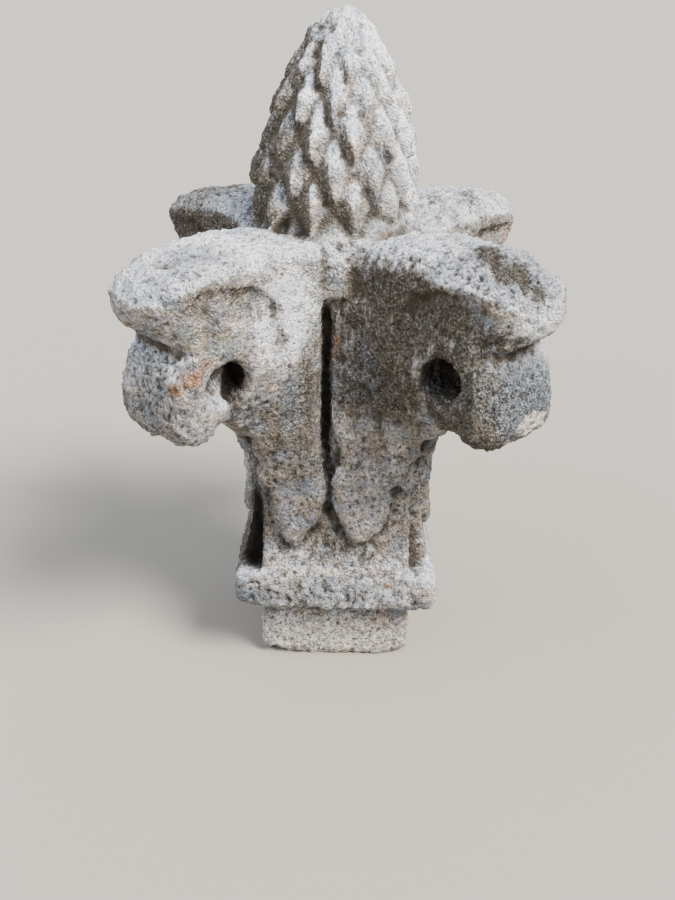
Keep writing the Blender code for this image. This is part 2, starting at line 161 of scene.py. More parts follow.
def soft_line(points, spacing, closed=True, softness=0.5):
    """Smooth curve through points at an even spacing. Softness 0 keeps its sides straight."""
    points = np.array(points, float)
    count = len(points)
    line = []
    for i in range(count if closed else count - 1):
        p = [points[(i + k) % count] if closed else points[min(max(i + k, 0), count - 1)]
             for k in (-1, 0, 1, 2)]
        steps = max(int(round(np.linalg.norm(p[2] - p[1]) / spacing)), 1)
        for t in np.arange(steps) / steps:
            leave, arrive = 0.5 * (p[2] - p[0]), 0.5 * (p[3] - p[1])
            curved = ((2 * t**3 - 3 * t**2 + 1) * p[1] + (t**3 - 2 * t**2 + t) * leave
                      + (3 * t**2 - 2 * t**3) * p[2] + (t**3 - t**2) * arrive)
            straight = p[1] + t * (p[2] - p[1])
            line.append(straight + 2 * softness * (curved - straight))
    return np.array(line)


def edge_distance(points, line):
    """Distance of each point to the nearest side of a closed line."""
    best = np.full(len(points), np.inf)
    for start, end in zip(line, np.roll(line, -1, axis=0)):
        run = end - start
        away = points - start
        share = np.clip(away @ run / (run @ run), 0, 1)
        best = np.minimum(best, np.linalg.norm(away - share[:, None] * run, axis=1))
    return best


def is_inside(points, line):
    """Whether each point lies inside a closed line."""
    inside = np.zeros(len(points), bool)
    for start, end in zip(line, np.roll(line, -1, axis=0)):
        crosses = (start[1] > points[:, 1]) != (end[1] > points[:, 1])
        if crosses.any():
            share = (points[:, 1] - start[1]) / (end[1] - start[1])
            inside ^= crosses & (points[:, 0] < start[0] + share * (end[0] - start[0]))
    return inside


def slab(name, edge, spacing, front, back):
    """Closed slab over a plane outline. front and back turn (u, v, distance in) into points."""
    low, high = edge.min(0), edge.max(0)
    rows = np.arange(low[1], high[1], spacing * ROW_STEP)
    grid = np.array([(u + 0.5 * spacing * (row % 2), v) for row, v in enumerate(rows)
                     for u in np.arange(low[0], high[0], spacing)])
    grid = grid[is_inside(grid, edge)]
    grid = grid[edge_distance(grid, edge) > EDGE_GAP * spacing]
    places = [Vector(p) for p in np.vstack([edge, grid])]
    outline = [list(range(len(edge)))]
    flat, _, triangles, *_ = delaunay_2d_cdt(places, [], outline, INSIDE_ONLY, SAME_POINT)
    flat = np.array([tuple(p) for p in flat])
    inward = edge_distance(flat, edge)
    verts = np.vstack([front(flat[:, 0], flat[:, 1], inward), back(flat[:, 0], flat[:, 1], inward)])
    count = len(flat)
    faces, border = [], {}
    for t in triangles:
        faces.append(tuple(t))
        faces.append(tuple(i + count for i in reversed(t)))
        for start, end in zip(t, list(t[1:]) + [t[0]]):
            if border.pop((end, start), None) is None:
                border[(start, end)] = True
    faces += [(end, start, start + count, end + count) for start, end in border]
    return show(name, verts, faces)


print("slab tools ready")

# %% [markdown]
# ## The four leaves
# The side view has a long tongue that hangs over, a notch, a round lobe below it and a stem that
# narrows into the shaft. On the real stone two leaves keep a round drilled eye, and on the other
# two the eye is worn open into a hook. A raised band runs along the upper edge, and the crown of
# the tongue is rounded over. The tips of the two back leaves stand a little higher, and the left
# one is shorter. All distances are in millimetres from the middle of the stone.

# %% Sizes of the leaves
LEAF_OUTLINE = (
    (34, 289), (52, 294), (74, 297), (94, 297), (112, 295), (128, 292), (142, 288), (153, 283.5),
    (160, 277), (161.5, 270), (157, 262), (150, 255.5), (143, 250.5), (139.5, 247), (143, 239),
    (148, 227), (150.5, 213), (149.5, 201), (143.5, 193), (134, 190), (124, 192), (114, 196.5),
    (105, 197), (99, 192), (94, 184), (87, 176), (74, 170), (54, 170), (34, 175), (34, 200),
    (34, 228), (34, 256),
)
BAND_LINE = ((138, 277), (124, 279), (109, 279), (96, 276), (85, 268), (79, 256), (75, 243), (72, 228))
LEAF_HALF, LEAF_ROOT = 34.0, 34.0
LEAST_HALF = 5.0
TONGUE_CROWN, LOBE_CROWN = (13.0, 0.35), (12.0, 0.45)  # width of the rounding, share left at its edge
ROUND_CROWN, SHARP_CROWN = 2.3, 1.15
LOBE_TOP, LOBE_BLEND = 252.0, 4.0
TONGUE_START, TONGUE_REACH, TONGUE_BEYOND = 112.0, 161.0, 6.0
TONGUE_POWERS = (2.2, 0.6)
FLANK_TOP, FLANK_INNER, FLANK_OUTER = 226.0, 43.0, 108.0
FLANK_FADE = (96.0, 112.0)
FLANK_SLOPE = 0.012
BAND_STEP, BAND_SOFTNESS = 4.5, 1.0
BAND_FOOT, BAND_END = (205, 235), (125, 145)
EYE_WALL = (0.84, 1.03)
WORN_FROM, WORN_SLANT = (-0.3, 0.5), 0.5
NOTCH, NOTCH_REACH = (101.0, 189.0), (9.0, 21.0)
# Below 1, outward and downward draw an eye out that way. Softening lays its wall down, and the
# scoop is the slope from the ridge into it.
ROUND_EYE = {"centre": (108.4, 226), "radii": (14.8, 13.2), "depth": 28, "outward": 1.0,
             "downward": 1.0, "softening": 0.0, "scoop": 0.0}
WORN_EYE = {"centre": (109.5, 222.5), "radii": (13.0, 13.2), "depth": 20, "outward": 0.42,
            "downward": 0.5, "softening": 0.78, "scoop": 0.3}
SCOOP_RIDGE = ((110, 243), (120, 243), (131, 241), (141, 235), (147, 226), (149, 212), (146, 198),
               (138, 184))
SCOOP_INNER, SCOOP_MOST = (98.5, 102.5), 11.0
GROOVE_HALF, GROOVE_SHIFT, LIP_GAP = 3.0, -7.5, 0.25
FINE = 1.9
band = soft_line(BAND_LINE, FINE, closed=False)
ridge = soft_line(SCOOP_RIDGE, FINE, closed=False)
print("leaf reaches", TONGUE_REACH, "mm from the middle")


# %% The leaf's thickness as a rule over its side view
def line_side(s, z, line):
    """Signed distance to a line, with plus on its left as it runs."""
    points = np.column_stack([s, z])
    nearest = np.argmin(np.linalg.norm(points[:, None] - line[None], axis=2), axis=1)
    run = np.gradient(line, axis=0)[nearest]
    away = points - line[nearest]
    return (run[:, 0] * away[:, 1] - run[:, 1] * away[:, 0]) / np.linalg.norm(run, axis=1)


def eye_cut(s, z, eye):
    """Depth of the eye, with a long slope towards the lobe where it is worn."""
    across = (s - eye["centre"][0]) / eye["radii"][0]
    along = (z - eye["centre"][1]) / eye["radii"][1]
    across = np.where(across > 0, across * eye["outward"], across)
    along = np.where(along < 0, along * eye["downward"], along)
    worn = smooth_step(*WORN_FROM, across - WORN_SLANT * along)
    start = EYE_WALL[0] - eye["softening"] * worn
    hole = eye["depth"] * (1 - smooth_step(start, EYE_WALL[1], np.hypot(across, along)))
    scoop = np.clip(-eye["scoop"] * line_side(s, z, ridge), 0, SCOOP_MOST)
    return np.maximum(hole, scoop * smooth_step(*SCOOP_INNER, s) * (z < ridge[0, 1]))


def band_cut(s, z):
    """How far the side is set back below the raised band."""
    fade = smooth_step(*BAND_FOOT, z) * (1 - smooth_step(*BAND_END, s))
    return BAND_STEP * smooth_step(-BAND_SOFTNESS, BAND_SOFTNESS, line_side(s, z, band)) * fade


def half_width(s, z, inward, eye, lip, crown):
    """Half the thickness of the leaf at points of its side view."""
    on_tongue = smooth_step(LOBE_TOP - LOBE_BLEND, LOBE_TOP + LOBE_BLEND, z)
    radius = LOBE_CROWN[0] + on_tongue * (TONGUE_CROWN[0] - LOBE_CROWN[0])
    edge = LOBE_CROWN[1] + on_tongue * (TONGUE_CROWN[1] - LOBE_CROWN[1])
    to_notch = np.hypot(s - NOTCH[0], z - NOTCH[1])
    edge += (1 - edge) * (1 - smooth_step(*NOTCH_REACH, to_notch))
    share = np.minimum(inward / radius, 1)
    rounding = edge + (1 - edge) * np.sqrt(1 - (1 - share) ** crown)
    taper = (s - TONGUE_START) / (TONGUE_REACH + TONGUE_BEYOND - TONGUE_START)
    taper = on_tongue * np.clip(taper, 0, 1)
    width = LEAF_HALF * rounding * (1 - taper ** TONGUE_POWERS[0]) ** TONGUE_POWERS[1]
    narrowing = np.maximum(FLANK_TOP - z, 0) * np.maximum(np.minimum(s, FLANK_OUTER) - FLANK_INNER, 0)
    width -= FLANK_SLOPE * narrowing * (1 - smooth_step(*FLANK_FADE, s))
    width -= eye_cut(s, z, eye) + band_cut(s, z)
    return np.maximum(np.minimum(width, s - lip * math.sqrt(2)), LEAST_HALF)


def leaf(name, azimuth, longer, lift, eye, lips, crown):
    """One leaf on the diagonal at this azimuth, with its tip longer and higher than drawn."""
    outline = np.array(LEAF_OUTLINE, float)
    share = np.maximum(outline[:, 0] - LEAF_ROOT, 0) / (TONGUE_REACH - LEAF_ROOT)
    outline += np.column_stack([longer * share, lift * share])
    along = np.array([math.cos(math.radians(azimuth)), math.sin(math.radians(azimuth)), 0])
    across = np.array([-along[1], along[0], 0])

    def skin(sign, lip):
        def place(s, z, inward):
            half = half_width(s, z, inward, eye, lip, crown)
            return (np.outer(s, along) + np.outer(sign * half, across)
                    + np.outer(z, (0, 0, 1))) * MM
        return place

    return slab(name, soft_line(outline, FINE), FINE, skin(1, lips[0]), skin(-1, lips[1]))


# %% Carve the leaves
even = GROOVE_HALF + LIP_GAP
parts = [
    # name, azimuth, longer, higher, eye, lips of the grooves on its two sides, crown
    leaf("leaf_front_left", 225, 0, 0, WORN_EYE, (even - GROOVE_SHIFT, even), ROUND_CROWN),
    leaf("leaf_front_right", 315, 0, 0, ROUND_EYE, (even, even + GROOVE_SHIFT), SHARP_CROWN),
    leaf("leaf_back_right", 45, 0, 7, WORN_EYE, (even, even), SHARP_CROWN),
    leaf("leaf_back_left", 135, -9, 6, ROUND_EYE, (even, even), ROUND_CROWN),
]
print("leaf points:", [len(piece.data.vertices) for piece in parts])

# %% [markdown]
# ## The shaft and the base
# The shaft is a square with a rebate, a square notch, down each corner, and with a narrow upright
# groove in each face, between two leaves. On the front the groove stands left of centre.
# A collar closes the gaps between the leaves and the foot of the cone, where the grooves end.
# All are lofts: rings of points at measured heights, joined by faces. The base is a tenon, which
# sits in a socket when the finial is in place, under a moulding with soft edges.

# %% Lofts
SHAFT_RINGS = (
    # height, face, side of the face, inner corner, floor and lip of the groove
    (62, 64, 48, 48, 64, 64), (77, 64, 48, 48, 64, 64), (84, 61, 48, 48, 61, 61),
    (98, 57, 48, 48, 57, 57), (116, 54, 48, 48, 54, 54), (134, 53, 48, 48, 53, 53),
    (150, 53, 49, 48, 51, 53), (162, 54.5, 50.5, 49, 48, 53), (174, 59, 52.5, 51, 46, 53),
    (186, 65, 52.5, 56, 45, 53), (198, 72, 51.5, 60, 44.5, 53), (212, 82, 48.5, 63, 44.5, 52.5),
    (228, 88, 45.5, 65, 44.5, 52.5), (256, 88, 45, 64, 44, 52), (272, 72, 38, 52, 42, 46),
)
GROOVE_FLOOR = 0.8 * GROOVE_HALF
TENON_HALF, TENON_HEIGHT, TENON_WORN = 50.5, 48.5, 2.5
MOULDING_HALF, MOULDING_TOP, MOULDING_SOFT = 66.5, 76.0, 4.0
CORNER_RADIUS, CORNER_TURNS = 5.0, range(0, 91, 15)
BASE_RINGS = (
    (TENON_HALF - TENON_WORN, 0), (TENON_HALF, 2 * TENON_WORN), (TENON_HALF, TENON_HEIGHT),
    (MOULDING_HALF - MOULDING_SOFT / 2, TENON_HEIGHT), (MOULDING_HALF, TENON_HEIGHT + MOULDING_SOFT),
    (MOULDING_HALF, MOULDING_TOP - 2 * MOULDING_SOFT),
    (MOULDING_HALF - MOULDING_SOFT / 2, MOULDING_TOP - MOULDING_SOFT / 2),
    (MOULDING_HALF - 2 * MOULDING_SOFT, MOULDING_TOP),
)
COLLAR = ((44, 249), (53, 256), (58.5, 263), (58, 271), (55, 281), (51, 291), (46, 301), (40, 309))
COLLAR_SIDES = 48


def loft(name, rings):
    """Closed solid through rings of equally many points in millimetres."""
    count = len(rings[0])
    faces = [(a + i, a + (i + 1) % count, a + count + (i + 1) % count, a + count + i)
             for a in range(0, count * (len(rings) - 1), count) for i in range(count)]
    faces.append(tuple(range(count))[::-1])
    faces.append(tuple(range(count * (len(rings) - 1), count * len(rings))))
    return show(name, np.vstack(rings) * MM, faces)


def shaft_ring(height, face, side, inner, floor, lip):
    """One ring of the shaft, four times round."""
    quarter = np.array([
        (-GROOVE_FLOOR, -floor), (-GROOVE_HALF, -lip), (-side, -face), (-inner, -inner),
        (-face, -side), (-lip, -GROOVE_HALF), (-floor, -GROOVE_FLOOR)])
    spins = [(1, 0), (0, -1), (-1, 0), (0, 1)]
    ring = np.vstack([quarter @ np.array([(c, s), (-s, c)]) for c, s in spins])
    ring[[0, 1, -1, -2], 0] += GROOVE_SHIFT
    return np.column_stack([ring, np.full(len(ring), height)])


def rounded_square(half, height):
    """Square ring with a round at each corner."""
    turns = np.radians([90 * corner + step for corner in range(4) for step in CORNER_TURNS])
    corners = np.radians([90 * corner + 45 for corner in range(4) for _ in CORNER_TURNS])
    centre = (half - CORNER_RADIUS) * math.sqrt(2)
    return np.column_stack([centre * np.cos(corners) + CORNER_RADIUS * np.cos(turns),
                            centre * np.sin(corners) + CORNER_RADIUS * np.sin(turns),
                            np.full(len(turns), height)])


parts.append(loft("shaft", [shaft_ring(*row) for row in SHAFT_RINGS]))
parts.append(loft("base", [rounded_square(*ring) for ring in BASE_RINGS]))
ring = np.arange(COLLAR_SIDES) * 2 * math.pi / COLLAR_SIDES
parts.append(loft("collar", [np.column_stack([
    radius * np.cos(ring), radius * np.sin(ring), np.full(COLLAR_SIDES, height)])
    for radius, height in COLLAR]))
print("base", 2 * MOULDING_HALF, "mm square")

# %% [markdown]
# ## Leaf tips on the faces
# The lower ends of the leaves hang down on the flat faces of the shaft, two on each face, with
# notched edges. They are low slabs too, laid on the face of the shaft and rounded at their edge.

# %% Leaf tips
LEFT_TIP = (
    (-10.9, 196), (-10.8, 170), (-9.5, 154), (-7, 138), (-7.5, 126), (-10, 117), (-17, 107),
    (-25, 96.5), (-30, 97.5), (-38, 109), (-41.5, 123), (-42, 136.5), (-49, 137.5), (-50, 146),
    (-48.5, 156), (-52.2, 159), (-53.4, 168), (-51.6, 172.5), (-54.8, 177), (-53, 192),
)
RIGHT_TIP = (
    (50, 194), (54.8, 177), (51.4, 172), (52, 160), (46, 156), (45, 147), (43, 139.5),
    (35, 138.5), (34, 128), (32, 118), (27, 105), (13, 96.5), (7, 103), (3.3, 111),
    (-1, 121), (-2.8, 131), (-2.8, 143), (0.5, 153), (2.2, 162), (-1, 171), (-4.1, 179),
    (-4.2, 196),
)
TIP_THICKNESS, TIP_ROUND, TIP_EMBED, TIP_EDGE = 7.5, 9.0, 4.3, 0.66
TIP_FADE, TIP_SINK, TIP_GROOVE_GAP, TIP_SOFTNESS = (176, 198), 1.25, 3.7, 0.12
PAST_CORNER = 1.2
rows = np.array(SHAFT_RINGS)


def face_out(x, z):
    """How far out the face of the shaft lies, between the groove's lip and the corner."""
    face, side, lip = (np.interp(z, rows[:, 0], rows[:, column]) for column in (1, 2, 5))
    share = np.clip((np.abs(x) - GROOVE_HALF) / (side - GROOVE_HALF), 0, PAST_CORNER)
    return lip + share * (face - lip)


def leaf_tip(name, outline, quarter):
    """One hanging tip, laid on a face of the shaft."""
    spin = np.array(Matrix.Rotation(math.radians(90 * quarter), 3, "Z"))

    def front(x, z, inward):
        share = np.minimum(inward / TIP_ROUND, 1)
        raised = TIP_THICKNESS * (TIP_EDGE + (1 - TIP_EDGE) * np.sqrt(1 - (1 - share) ** 2))
        raised *= 1 - TIP_SINK * smooth_step(*TIP_FADE, z)
        return np.column_stack([x, -face_out(x, z) - raised, z]) @ spin.T * MM

    def back(x, z, inward):
        return np.column_stack([x, -face_out(x, z) + TIP_EMBED, z]) @ spin.T * MM

    return slab(name, soft_line(outline, FINE, softness=TIP_SOFTNESS), FINE, front, back)


for quarter in range(4):
    left, right = np.array(LEFT_TIP, float), np.array(RIGHT_TIP, float)
    if quarter:
        left[:, 0] = np.minimum(left[:, 0], -TIP_GROOVE_GAP)
        right[:, 0] = np.maximum(right[:, 0], TIP_GROOVE_GAP)
    parts.append(leaf_tip(f"tip_{quarter}_left", left, quarter))
    parts.append(leaf_tip(f"tip_{quarter}_right", right, quarter))
print("parts so far:", len(parts))

# %% [markdown]
# ## The pine cone, by Geometry Nodes
# The scales of a cone follow a rule, so a node tree makes them. Every point of a plain cylinder
# learns its row and its column. Rows and columns cross in a lattice of lozenges: turning the
# lattice by 45 degrees makes the lozenges squares, and rounding finds the middle of the scale
# that a point belongs to. Each scale swells from its top towards a blunt tip near its lower end,
# with a keel down the middle, and a random number per scale makes some stand prouder. Sizes are
# inputs of the tree, so another cone needs no new nodes.

# %% Cone sizes
CONE_PROFILE = (
    (45.0, 262), (47.0, 280), (48.5, 300), (48.5, 320), (45.5, 338), (39.5, 358), (31.5, 378),
    (22.5, 395), (13.0, 408), (7.5, 412.6), (3.5, 414.6), (0.6, 415),
)
CONE_FOOT, CONE_TOP, CONE_WIDEST = 262.0, 415.0, 50.0
CONE_GRID = {"Vertices": 240, "Side Segments": 200, "Radius": 1.0, "Depth": 1.0}
SCALE_EDGE, SCALE_ROUNDING, TOP_FADE = 1.02, 1.05, 0.35
KEEL = ((0.0, 0.0), (0.15, 0.3), (0.4, 0.72), (0.7, 1.0), (0.84, 0.92), (0.94, 0.4), (1.0, 0.0))
CONE_INPUTS = {
    "Row pitch": 20.0 * MM, "First row": 290.0 * MM, "Scales per row": 12.0,
    "Relief": 9.8 * MM, "Mean relief": 0.52, "Twist per row": math.radians(-1.3),
    "Foot offset": -4.5 * MM, "Unevenness": 0.35, "Seed": 4.0,
}


def set_curve(node, points):
    """Lay the points of a Float Curve node."""
    curve = node.mapping.curves[0]
    while len(curve.points) < len(points):
        curve.points.new(0.5, 0.5)
    for spot, place in zip(curve.points, points):
        spot.location = place
    node.mapping.update()


# %% Start and end of a tree
limestone = bpy.data.materials.new("weathered_limestone")


def start_tree(name, inputs):
    """A tree that takes a mesh and named sizes, and the outputs of its input node."""
    tree = bpy.data.node_groups.new(name, "GeometryNodeTree")
    for way in ("OUTPUT", "INPUT"):
        tree.interface.new_socket("Geometry", in_out=way, socket_type="NodeSocketGeometry")
    for size in inputs:
        tree.interface.new_socket(size, in_out="INPUT", socket_type="NodeSocketFloat")
    return tree, add(tree, "NodeGroupInput", out=None).outputs


def end_tree(tree, geometry):
    """Make everything real and of stone, because the export drops instances."""
    real = add(tree, "GeometryNodeRealizeInstances", [geometry])
    dressed = add(tree, "GeometryNodeSetMaterial", {"Geometry": real, "Material": limestone})
    add(tree, "NodeGroupOutput", {"Geometry": dressed}, out=None)
    print(tree.name, "tree:", len(tree.nodes), "nodes")


# %% Cone tree: row and column of every point
tree, asked = start_tree("pine_cone", CONE_INPUTS)
cylinder = add(tree, "GeometryNodeMeshCylinder", CONE_GRID)
place = add(tree, "GeometryNodeInputPosition")
apart = add(tree, "ShaderNodeSeparateXYZ", [place], out=None).outputs
share = add(tree, "ADD", [apart[2], 0.5])
height = add(tree, MAP_RANGE, {0: share, 3: CONE_FOOT * MM, 4: CONE_TOP * MM})
above = add(tree, "SUBTRACT", [height, asked["First row"]])
row = add(tree, "DIVIDE", [above, asked["Row pitch"]])
turn = add(tree, "ARCTAN2", [apart[1], apart[0]])
front_turn = add(tree, "ADD", [turn, math.pi / 2])
lean = add(tree, "MULTIPLY", [row, asked["Twist per row"]])
untwisted = add(tree, "SUBTRACT", [front_turn, lean])
per_turn = add(tree, "MULTIPLY", [asked["Scales per row"], 1 / math.pi])
column = add(tree, "MULTIPLY", [untwisted, per_turn])
print("cone tree: rows and columns")

# %% Cone tree: nearest scale, and the place on it
crossing = []
for operation in ("ADD", "SUBTRACT"):
    both = add(tree, operation, [row, column])
    half = add(tree, "MULTIPLY", [both, 0.5])
    middle = add(tree, "ROUND", [half])
    off = add(tree, "SUBTRACT", [half, middle])
    crossing.append((middle, off))
up = add(tree, "ADD", [crossing[0][1], crossing[1][1]])
sideways = add(tree, "SUBTRACT", [crossing[0][1], crossing[1][1]])
down = add(tree, MAP_RANGE, [up, 1.0, -1.0, 0.0, 1.0])
keel = add(tree, "ShaderNodeFloatCurve", {1: down}, out=None)
set_curve(keel, KEEL)
far = add(tree, "ABSOLUTE", [sideways])
tall = add(tree, "ABSOLUTE", [up])
room = add(tree, "SUBTRACT", [SCALE_EDGE, tall])
off_keel = add(tree, "DIVIDE", [far, room])
flank = add(tree, "SUBTRACT", [1.0, off_keel], use_clamp=True)
flank = add(tree, "POWER", [flank, SCALE_ROUNDING])
scale_height = add(tree, "MULTIPLY", [keel.outputs[0], flank])
print("cone tree: scales")

# %% Cone tree: uneven scales on the turned body
wrapped = add(tree, "SUBTRACT", [crossing[1][0], crossing[0][0]])
steps_round = 2 * CONE_INPUTS["Scales per row"]
wrapped = add(tree, "WRAP", [wrapped, steps_round, 0.0])
which_row = add(tree, "ADD", [crossing[0][0], crossing[1][0]])
which = add(tree, "ShaderNodeCombineXYZ", [wrapped, which_row, asked["Seed"]])
chance = add(tree, "ShaderNodeTexWhiteNoise", [which], noise_dimensions="3D")
chance = add(tree, "ADD", [chance, -0.5])
uneven = add(tree, "MULTIPLY_ADD", [chance, asked["Unevenness"], 1.0])
swell = add(tree, "MULTIPLY", [scale_height, uneven])
swell = add(tree, "SUBTRACT", [swell, asked["Mean relief"]])
radius = add(tree, "ShaderNodeFloatCurve", {1: share}, out=None)
set_curve(radius, [((z - CONE_FOOT) / (CONE_TOP - CONE_FOOT), out / CONE_WIDEST)
                   for out, z in CONE_PROFILE])
fade = add(tree, "POWER", [radius.outputs[0], TOP_FADE])
relief = add(tree, "MULTIPLY", [asked["Relief"], fade])
body_radius = add(tree, "MULTIPLY", [radius.outputs[0], CONE_WIDEST * MM])
reach = add(tree, "MULTIPLY_ADD", [swell, relief, body_radius])
x = add(tree, "MULTIPLY", [apart[0], reach])
y = add(tree, "MULTIPLY", [apart[1], reach])
off_axis = add(tree, MAP_RANGE, [height, CONE_TOP * MM, asked["First row"], 0.0, asked["Foot offset"]],
               clamp=False)
x = add(tree, "ADD", [x, off_axis])
lifted = add(tree, "ShaderNodeCombineXYZ", [x, y, height])
moved = add(tree, "GeometryNodeSetPosition", {"Geometry": cylinder, "Position": lifted})
end_tree(tree, moved)


# %% Make the cone
def nodes_on(piece, tree, values):
    """Put a node tree on a piece, with its inputs set by the sockets' identifiers."""
    modifier = piece.modifiers.new(tree.name, "NODES")
    modifier.node_group = tree
    for item in tree.interface.items_tree:
        if item.item_type == "SOCKET" and item.name in values:
            modifier[item.identifier] = values[item.name]


def plain(piece):
    """Turn a piece with its modifiers into a plain mesh."""
    graph = bpy.context.evaluated_depsgraph_get()
    made = bpy.data.meshes.new_from_object(piece.evaluated_get(graph))
    piece.modifiers.clear()
    old, piece.data = piece.data, made
    bpy.data.meshes.remove(old)
    return piece


cone = show("cone", [], [])
nodes_on(cone, tree, CONE_INPUTS)
parts.append(plain(cone))
print("cone points:", len(cone.data.vertices))

# %% [markdown]
# ## One block
# The parts overlap, as clay pieces pressed together would. Voxel remeshing turns everything
# inside any of them into one skin of even quads, which is what a single block of stone needs.
# Corners that were knocked off are cut away by tilted blocks, and a second remesh gives the
# broken faces points of their own, so that the weather can reach them too. A face that lies
# nearly along the voxels, or at 45 degrees to them, would show their steps as ripples, so the
# stone is turned a little before the remeshing and turned back after it.

# %% Join the parts and break the corners
CHIPS = (
    # centre, size and turns in degrees of each block that is cut away
    ((-72.5, -72.5, 46), (60, 26, 26), (("Z", -45), ("X", -32))),
    ((-60, -57, 4), (40, 22, 26), (("Z", -40), ("X", -38))),
    ((20, -58, -5), (70, 12, 12), (("Z", 3), ("X", -45))),
    ((-40, -50.5, 0), (60, 34, 12), (("Z", -19), ("X", -45.5))),
    ((41, -51.5, -1.5), (56, 34, 12), (("Z", 16), ("X", -44.5))),
    ((121, -97, 188), (24, 46, 22), (("Z", -45), ("Y", 42), ("X", -12))),
    ((-121, -104, 186), (24, 50, 20), (("Z", 225), ("Y", 35))),
    ((-9, -5, 422), (22, 26, 16), (("Y", 24), ("X", 8))),
)
FIRST_VOXEL, LAST_VOXEL = 1.5 * MM, 1.2 * MM
GRID_TURN = 19  # degrees


def read(mesh, name="co"):
    """Positions or normals of a mesh's points."""
    values = np.empty(len(mesh.vertices) * 3, np.float32)
    source = mesh.vertices if name == "co" else mesh.vertex_normals
    source.foreach_get("co" if name == "co" else "vector", values)
    return values.reshape(-1, 3).astype(float)


def joined(name, pieces):
    """Gather pieces in one object."""
    verts, faces, start = [], [], 0
    for piece in pieces:
        verts += [tuple(v.co) for v in piece.data.vertices]
        faces += [tuple(start + i for i in face.vertices) for face in piece.data.polygons]
        start = len(verts)
        bpy.data.objects.remove(piece)
    return show(name, verts, faces)


def cutter(centre, size, turns):
    """A tilted block."""
    placed = Matrix.Translation(Vector(centre) * MM)
    for axis, degrees in turns:
        placed = placed @ Matrix.Rotation(math.radians(degrees), 4, axis)
    halves = [length / 2 for length in size]
    corners = [Vector((x, y, z)) * MM for x in (-halves[0], halves[0])
               for y in (-halves[1], halves[1]) for z in (-halves[2], halves[2])]
    verts = [placed @ corner for corner in corners]
    faces = [(0, 1, 3, 2), (4, 6, 7, 5), (0, 4, 5, 1), (2, 3, 7, 6), (0, 2, 6, 4), (1, 5, 7, 3)]
    return show("cutter", verts, faces)


def even_skin(piece, voxel):
    """Wrap a piece in one skin of even quads."""
    remesh = piece.modifiers.new("even_skin", "REMESH")
    remesh.mode = "VOXEL"
    remesh.voxel_size = voxel
    plain(piece)


finial = joined("carved_finial", parts)
to_grid = Matrix.Rotation(math.radians(GRID_TURN), 4, "Z")
finial.data.transform(to_grid)
even_skin(finial, FIRST_VOXEL)
breaks = joined("breaks", [cutter(*chip) for chip in CHIPS])
breaks.data.transform(to_grid)
broken = finial.modifiers.new("breaks", "BOOLEAN")
broken.operation = "DIFFERENCE"
broken.object = breaks
broken.solver = "MANIFOLD"
even_skin(finial, LAST_VOXEL)
finial.data.transform(to_grid.inverted())
bpy.data.objects.remove(breaks)
print("skin:", len(finial.data.vertices), "points")

# %% [markdown]
# ## A flake and a few dents
# On the front of the moulding a thin flake has come away below a crooked crack, and left a step
# about two millimetres deep. The points behind its outline are pushed in. Dents are pushed in
# along the normals, each with its own place, reach and depth.

# %% Flake and dents
FLAKE_OUTLINE = np.array((
    (-68, 44), (-68, 66), (-56, 71), (-50, 70), (-46, 66), (-41, 65), (-38, 62), (-33, 61),
    (-28, 57), (-22, 56), (-17, 52), (-9, 52), (-4, 44)), float)
FLAKE_FRONT, FLAKE_DEPTH = -60.0, 2.4
DENTS = (
    ((91, -102, 289), (20, 24, 16), 2.6), ((98, -108, 287), (7, 26, 16), 1.6),
    ((84, -94, 292), (7, 24, 16), 1.6), ((110, -92, 288), (6, 14, 12), 1.5),
    ((60, -86, 294), (14, 10, 12), 1.5), ((10.4, -44, 296), (5, 7, 6), 3.0),
    ((-70, -88, 296), (22, 14, 12), 1.8), ((-96, -96, 294), (16, 13, 12), 1.8),
    ((-52, -99, 270), (6, 6, 4), 1.5),
)


def nearness(points, centre, reach, full, end):
    """1 round a centre and 0 far off. full and end say where it fades, as shares of the reach."""
    return 1 - smooth_step(full, end, np.linalg.norm((points - centre) / reach, axis=1))


def move_points(mesh, places):
    """Give the points of a mesh new places, in metres."""
    mesh.vertices.foreach_set("co", places.astype(np.float32).ravel())
    mesh.update()


spots, normals = read(finial.data) / MM, read(finial.data, "normal")
for centre, reach, depth in DENTS:
    spots -= normals * (depth * nearness(spots, centre, reach, 0, 1))[:, None]
behind = is_inside(spots[:, [0, 2]], FLAKE_OUTLINE) & (spots[:, 1] < FLAKE_FRONT)
spots[behind, 1] += FLAKE_DEPTH
move_points(finial.data, spots * MM)
print("flake:", int(behind.sum()), "points, dents:", len(DENTS))

# %% [markdown]
# ## Rounding by the weather
# A century of rain rounds every edge. Moving each point a little towards the middle of its
# neighbours, again and again, does the same. How far further rounds would move a point also tells
# whether it stands on an edge or in a hollow, which is used below for chipping and for colour.
# The crowns of the leaves, the lobes and the moulding are rougher than the rest, and the cone is
# smoother.

# %% Soften the carving
def neighbours(mesh):
    """Both ends of every edge, and the number of edges at every point."""
    ends = np.empty(len(mesh.edges) * 2, np.int32)
    mesh.edges.foreach_get("vertices", ends)
    a, b = ends.reshape(-1, 2).T
    return a, b, np.maximum(np.bincount(ends, minlength=len(mesh.vertices)), 1)


def softened(values, net, rounds, share=0.5):
    """Move values towards the mean of their neighbours, round by round."""
    a, b, count = net
    values = values.copy()
    for _ in range(rounds):
        columns = values.reshape(len(count), -1)
        mean = np.column_stack([
            np.bincount(a, column[b], len(count)) + np.bincount(b, column[a], len(count))
            for column in columns.T]) / count[:, None]
        values = (columns + share * (mean - columns)).reshape(values.shape)
    return values


